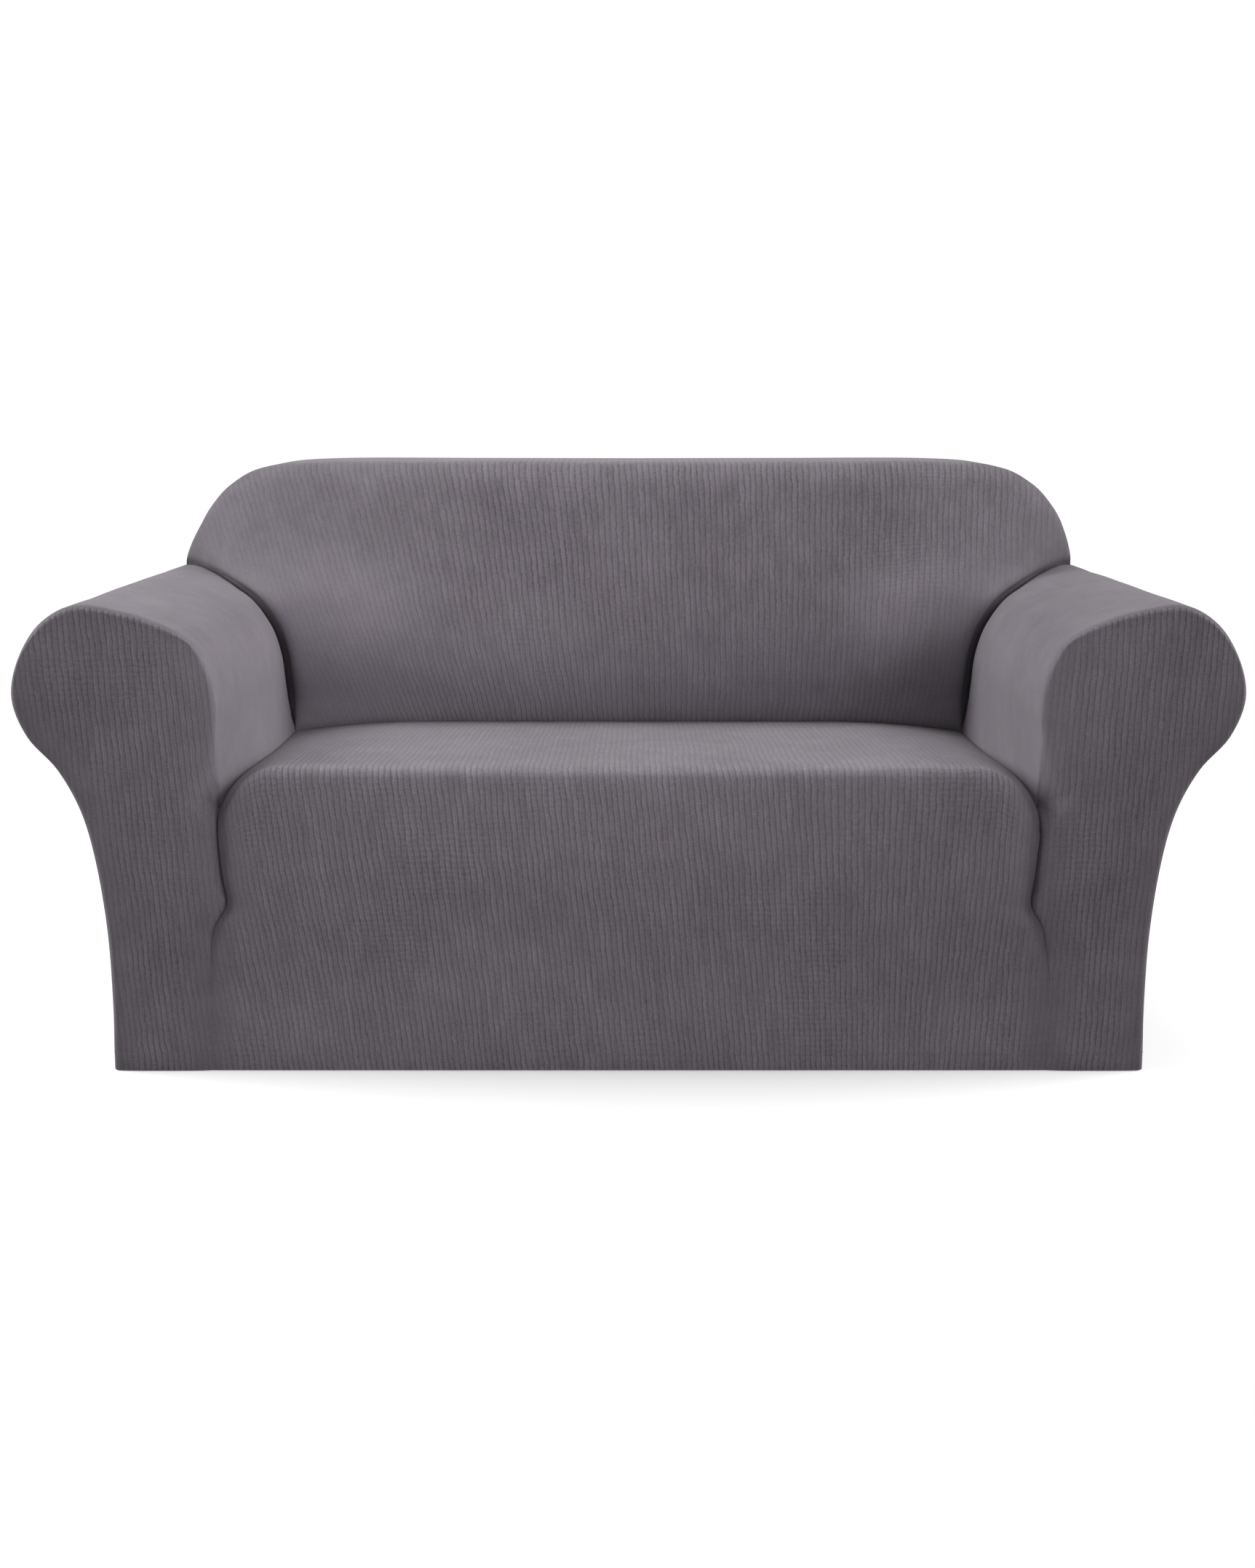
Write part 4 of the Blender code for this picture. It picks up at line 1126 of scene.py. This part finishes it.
# %% The knit's numbers
CLOTH_COLOUR = (0.118, 0.106, 0.121)
RIB_PITCH, KNOT_PITCH, ROW_PITCH = 0.0080, 0.0042, 0.0078
RIB_HEIGHT, KNOT_HEIGHT, GRAIN_HEIGHT = 0.00045, 0.00008, 0.00010
RIB_WAVERS = (
    # scale of a noise, and by how many pitches it shifts the ribs
    (7.0, 0.9), (45.0, 0.45), (130.0, 0.25),
)
RIB_ROUND, RIB_EDGE, EDGE_TURN = 0.62, 0.38, 0.9
KNOT_TURN = 2.4
PATCH_SCALE, BLOTCH_SCALE, BLOTCHES = 8.0, 32.0, 0.9
HEATHER_SCALE, UNEVEN_SCALE = 420.0, 70.0
YARN_ACROSS, YARN_ALONG = 0.8, 16.0
DASH_ACROSS, DASH_ALONG, DASH_SEED = 1.6, 200.0, 3.0
SHOWN, SHOWN_UNEVEN, SHOWN_STREAKY = 0.80, 1.2, 1.6
WAFFLE_SCALE, WAFFLE_EDGE = 5.5, 5.0
ROW_SCALE, ROW_WAVER = 60.0, 1.2
RIB_PAINTED_LIGHT_AND_SHADE, PATCHY, HEATHERED, STREAKY = 0.31, 0.26, 0.32, 0.42
WAFFLED, KNOTTED, DASHED = 0.065, 0.03, 0.34
ROUGH, ROUGH_VARIES = 0.88, 0.10


# %% The knit as a material
def knit_material():
    material = bpy.data.materials.new("ribbed_knit")
    material.use_nodes = True
    material.node_tree.nodes.clear()
    tree = Tree(material.node_tree)
    space = tree.node("ShaderNodeTexCoord", output="Object")
    knit = tree.node("ShaderNodeAttribute", {"attribute_name": KNIT}, output="Vector")
    split = tree.node("ShaderNodeSeparateXYZ", {}, {"Vector": knit})
    across, along, strength = split, split.also("Y"), split.also("Z")

    def varied(scale, detail=1.0, vector=space):
        return tree.noise(vector, scale, detail) - 0.5

    def drawn_out(x, y, z, detail):
        """Noise that is long along the yarns and narrow across them."""
        return varied(1.0, detail, tree.node("ShaderNodeCombineXYZ", {}, {"X": x, "Y": y, "Z": z}))

    # The ribs waver, slowly over the length of a hand and a little from knot to knot
    phase = across / RIB_PITCH + sum(varied(scale) * shift for scale, shift in RIB_WAVERS)
    angle = phase * (2 * np.pi)
    rib = angle.sine() * RIB_ROUND + (angle * 2.0 + EDGE_TURN).sine() * RIB_EDGE
    turn = phase.maths("FLOOR", phase) * KNOT_TURN
    knot = (along * (2 * np.pi / KNOT_PITCH) + turn).sine()

    # How the dye, the yarns and the fibres vary
    patches = varied(PATCH_SCALE) + varied(BLOTCH_SCALE, 2.0) * BLOTCHES
    heather = varied(HEATHER_SCALE, 2.0)
    streak = drawn_out(phase * YARN_ACROSS, along * YARN_ALONG, 0.0, 2.0)
    dashes = drawn_out(phase * DASH_ACROSS, along * DASH_ALONG, DASH_SEED, 1.0)
    shown = strength * (varied(UNEVEN_SCALE, 2.0) * SHOWN_UNEVEN + SHOWN + streak * SHOWN_STREAKY)

    # In some patches the rows of knots show as much as the ribs do, like a fine waffle
    waffle = (varied(WAFFLE_SCALE) * WAFFLE_EDGE).clamped()
    row = ((along / ROW_PITCH + varied(ROW_SCALE) * ROW_WAVER) * (2 * np.pi)).sine()
    # The tone attribute brings each panel's painted light and shade; the ribs add painted shade in their
    # valleys and painted light on their crests; the rest is the yarn's own uneven dye and the knit's rows
    tone = tree.node("ShaderNodeAttribute", {"attribute_name": TONE}, output="Fac")
    tone = tone + rib * shown * RIB_PAINTED_LIGHT_AND_SHADE + patches * PATCHY + heather * HEATHERED
    tone = tone + (streak * STREAKY + row * waffle * WAFFLED + knot * KNOTTED + dashes * DASHED) * strength
    colour = {"Vector": CLOTH_COLOUR, "Scale": tone}
    shade = tree.node("ShaderNodeVectorMath", {"operation": "SCALE"}, colour)

    height = (rib * RIB_HEIGHT + knot * KNOT_HEIGHT) * shown + heather * GRAIN_HEIGHT
    bump = tree.node("ShaderNodeBump", {}, {"Strength": 1.0, "Distance": 1.0, "Height": height})
    cloth = tree.node("ShaderNodeBsdfPrincipled", {}, {
        "Base Color": shade, "Roughness": heather * ROUGH_VARIES + ROUGH, "Normal": bump,
        "Specular IOR Level": 0.12, "Sheen Weight": 0.04, "Sheen Roughness": 0.5,
    })
    tree.node("ShaderNodeOutputMaterial", {}, {"Surface": cloth})
    return material


def plain_finish(name, values):
    """A material whose shader has only constant values."""
    material = bpy.data.materials.new(name)
    material.use_nodes = True
    shader = material.node_tree.nodes["Principled BSDF"]
    for socket, value in values.items():
        shader.inputs[socket].default_value = value
    return material


KNITTED = knit_material()
THREAD = plain_finish("hem_thread", {"Base Color": (0.105, 0.094, 0.108, 1.0), "Roughness": 0.8})
print("nodes in the knit's tree:", len(KNITTED.node_tree.nodes))


# %% [markdown]
# ## Dress the frame
#
# Every panel gets its unevenness and its thickness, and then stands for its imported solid. The inputs of
# the tree are set by their identifiers, before anything is evaluated.

# %% From sheets to cloth
def grown(piece, group, values):
    """Puts a piece through a Geometry Nodes group, with the group's named inputs set."""
    modifier = piece.modifiers.new(group.name, "NODES")
    modifier.node_group = group
    named = {item.name: item.identifier for item in group.interface.items_tree if item.in_out == "INPUT"}
    for name, value in values.items():
        modifier[named[name]] = value


def made_plain(piece):
    """Bakes a piece's modifiers into its mesh."""
    evaluated = piece.evaluated_get(bpy.context.evaluated_depsgraph_get())
    mesh = bpy.data.meshes.new_from_object(evaluated)
    mesh.name = piece.name
    piece.modifiers.clear()
    piece.data = mesh
    return piece


SWELL = 0.0045
SWELL_SIZE = 0.16
FOLD_ANGLE = np.radians(50)


def dressed(piece, node, seed, cut, cut_area):
    grown(piece, UNEVEN, {"Height": SWELL, "Size": SWELL_SIZE, "Seed": seed, "Finish": KNITTED})
    thick = piece.modifiers.new("Thickness", "SOLIDIFY")
    thick.thickness = CLOTH
    thick.offset = -1.0
    made_plain(piece)
    piece.data.set_sharp_from_angle(angle=FOLD_ANGLE)
    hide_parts(node)
    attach(piece, "root")
    print(f"{piece.name}: {sum(len(face.vertices) - 2 for face in piece.data.polygons)} triangles")


PANELS = (
    # piece, the solid it stands for, seed, flat width and length in metres, flat area in square metres
    (seat, "seat_front", 3, (1.15, 0.98), 1.12),
    (inside_back, "inside_back", 5, (1.45, 0.75), 0.90),
    (outside_back, "outside_back", 7, (1.60, 0.80), 1.13),
    (arm_wraps[0], "arm_left", 11, (0.78, 1.12), 0.79),
    (arm_wraps[1], "arm_right", 13, (0.78, 1.12), 0.79),
    (arm_fronts[0], "arm_front_left", 17, (0.26, 0.64), 0.118),
    (arm_fronts[1], "arm_front_right", 19, (0.26, 0.64), 0.118),
)
for panel in PANELS:
    dressed(*panel)

# %% [markdown]
# ## The hem's stitches
#
# A hem like this is usually turned up once and sewn down with a single row of small stitches, a little
# above its edge. The photograph is too coarse to show them, so this row is a guess. It goes round the whole
# cover as one closed line. Its points come from the panels' own grids, so it lies on the cloth. The tree
# below walks along the line in even steps and lays a stitch at each.

# %% The tree for stitches
STITCH_PITCH = 0.0045
STITCH_LENGTH = 0.0032
STITCH_WIDTH = 0.0008
STITCH_STANDS_OFF = 0.0004


def stitching():
    group = group_with("Stitches on a line", {"Pitch": 0.005, "Length": 0.003, "Width": 0.001})
    tree = Tree(group)
    entry = entries(tree)
    curve = tree.node("GeometryNodeMeshToCurve", {}, {"Mesh": entry("Geometry")})
    pitch = entry("Pitch")
    points = tree.node("GeometryNodeCurveToPoints", {"mode": "LENGTH"}, {"Curve": curve, "Length": pitch})
    ball = tree.node("GeometryNodeMeshUVSphere", {}, {"Segments": 6, "Rings": 4, "Radius": 0.5})
    width, length = entry("Width"), entry("Length")
    size = tree.node("ShaderNodeCombineXYZ", {}, {"X": width, "Y": width, "Z": length})
    laid = tree.node("GeometryNodeInstanceOnPoints", {}, {
        "Points": points, "Instance": ball, "Rotation": points.also("Rotation"), "Scale": size,
    })
    ends_in(tree, laid, entry)
    return group


# %% Lay the line and sew it
ROUND = (
    "seat_and_skirt", "arm_scroll_right", "arm_wrap_right",
    "back_rear", "arm_wrap_left", "arm_scroll_left",
)
SAME_POINT = 0.001


def hem_line():
    """The closed line round the cover, anticlockwise seen from above, a little outside the cloth."""
    line = []
    for name in ROUND:
        run = hem_runs[name]
        if line and np.linalg.norm(run[-1] - line[-1][-1]) < np.linalg.norm(run[0] - line[-1][-1]):
            run = run[::-1]
        line.append(run)
    line = np.concatenate(line)
    line = line[np.linalg.norm(line - np.roll(line, 1, axis=0), axis=1) > SAME_POINT]
    run = np.roll(line, -1, axis=0) - np.roll(line, 1, axis=0)
    run /= np.linalg.norm(run, axis=1)[:, None]
    return line + np.stack([run[:, 1], -run[:, 0], 0 * run[:, 0]], axis=1) * STITCH_STANDS_OFF


def sew_hem():
    line = hem_line()
    count = len(line)
    piece = shaped("hem_stitching", line, [(i, (i + 1) % count) for i in range(count)], [])
    sizes = {"Pitch": STITCH_PITCH, "Length": STITCH_LENGTH, "Width": STITCH_WIDTH, "Finish": THREAD}
    grown(piece, stitching(), sizes)
    made_plain(piece)
    piece.data.shade_smooth()
    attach(piece, "root")
    print(f"hem_stitching: {count} points on the line, {len(piece.data.polygons)} faces")


sew_hem()

# %% [markdown]
# ## Floor, light and camera
#
# The studio is white, and a pale floor lies just under the hem. Two large softboxes stand high beside the
# arms, one hangs overhead and one stands level in front, so that surfaces that face up are the brightest
# and the fronts keep an even mid grey. A small, gridded one reaches only the left inner arm, and one
# behind lights the rear. The room is white to look at but lights the object weakly, because even light
# from everywhere would fill the creases. The watts of the lights in front were fitted to the photograph's
# tones by least squares, from one small render for each light; the watts of the one behind are given. The
# camera stands in front and looks 12 degrees down, as the photograph's does.

# %% The floor
FLOOR_SIZE = 4.0
UNDER_HEM = 0.001
FADE_FROM, FADE_TO = 0.8, 1.9


def make_floor():
    corners = FLOOR_SIZE * np.array([(-1, -1, 0), (1, -1, 0), (1, 1, 0), (-1, 1, 0)])
    floor = shaped("floor", corners + (0, ORIGIN[1], HEM - UNDER_HEM), [], [(0, 1, 2, 3)])
    pale = plain_finish("pale_floor", {
        "Base Color": (0.82, 0.82, 0.82, 1.0), "Roughness": 0.9, "Specular IOR Level": 0.1,
    })
    tree = Tree(pale.node_tree)
    space = tree.node("ShaderNodeTexCoord", output="Object")
    away = tree.node("ShaderNodeVectorMath", {"operation": "LENGTH"}, {"Vector": space}, "Value")
    fade = ((FADE_TO - away) / (FADE_TO - FADE_FROM)).clamped()
    tree.give(tree.nodes["Principled BSDF"].inputs["Alpha"], fade)
    floor.data.materials.append(pale)
    floor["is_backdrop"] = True


make_floor()


# %% The light
ROOM_SEEN, ROOM_LIGHT = 1.0, 0.15
MIDDLE = (0.0, -0.35, -0.40)
SOFTBOXES = (
    # name, place, target, width and height, how wide it shines in degrees, watts
    ("left_high", (-3.0, -0.35, 1.3), MIDDLE, (1.8, 1.8), 180.0, 165.6),
    ("right_high", (3.0, -0.35, 1.3), MIDDLE, (1.8, 1.8), 180.0, 124.5),
    ("front_level", (0.5, -4.4, 0.5), MIDDLE, (3.0, 1.6), 180.0, 66.1),
    ("overhead", (0.0, -0.35, 2.4), MIDDLE, (3.0, 2.4), 180.0, 54.3),
    ("gridded", (1.8, -3.0, 0.90), (-0.48, -0.18, -0.32), (0.6, 0.35), 26.0, 1.6),
    ("behind", (0.0, 3.6, 0.9), MIDDLE, (2.6, 1.8), 180.0, 60.0),
)


def make_room():
    """A room that is plain white to look at, and lights the object more weakly than it looks."""
    room = bpy.data.worlds.new("white_room")
    room.use_nodes = True
    tree = Tree(room.node_tree)
    seen = tree.node("ShaderNodeLightPath", output="Is Camera Ray")
    back = room.node_tree.nodes["Background"]
    back.inputs["Color"].default_value = (1.0, 1.0, 1.0, 1.0)
    tree.give(back.inputs["Strength"], seen * (ROOM_SEEN - ROOM_LIGHT) + ROOM_LIGHT)
    bpy.context.scene.world = room


def make_softbox(name, place, target, size, spread, watts):
    light = bpy.data.lights.new(name, "AREA")
    light.shape = "RECTANGLE"
    light.size, light.size_y = size
    light.spread = np.radians(spread)
    light.energy = watts
    lamp = linked(name, light)
    lamp.location = place
    lamp.visible_camera = False
    lamp.rotation_mode = "QUATERNION"
    lamp.rotation_quaternion = (Vector(target) - Vector(place)).to_track_quat("-Z", "Y")


make_room()
for softbox in SOFTBOXES:
    make_softbox(*softbox)
bpy.context.scene.view_settings.view_transform = "Standard"

# %% The camera
FOCAL_PIXELS, TALL_PIXELS, SENSOR = 2525.0, 2156.0, 36.0
EYE = (-0.0015, -2.46, 0.9894)
PITCH_DEGREES = 78.0
camera = linked("camera", bpy.data.cameras.new("camera"))
camera.data.sensor_width = SENSOR
camera.data.lens = FOCAL_PIXELS * SENSOR / TALL_PIXELS
camera.location = np.array(EYE) - ORIGIN
camera.rotation_euler = (np.radians(PITCH_DEGREES), 0.0, 0.0)
bpy.context.scene.camera = camera
print("camera at", [round(value, 4) for value in camera.location], "lens", round(camera.data.lens, 2))

# %% [markdown]
# ## The sizes
#
# The sizes of both boxes, the solids' and the dressed cover's, are printed in millimetres. The
# dressed cover has to stay within the box of its solids, apart from what cloth may stand proud.

# %% Print both boxes
dressed_box = [list(corner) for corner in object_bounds()]
for name, low, high in (("solids", *solid_box), ("dressed", *dressed_box)):
    print(name, [round(1000 * (b - a), 1) for a, b in zip(low, high)], "mm")
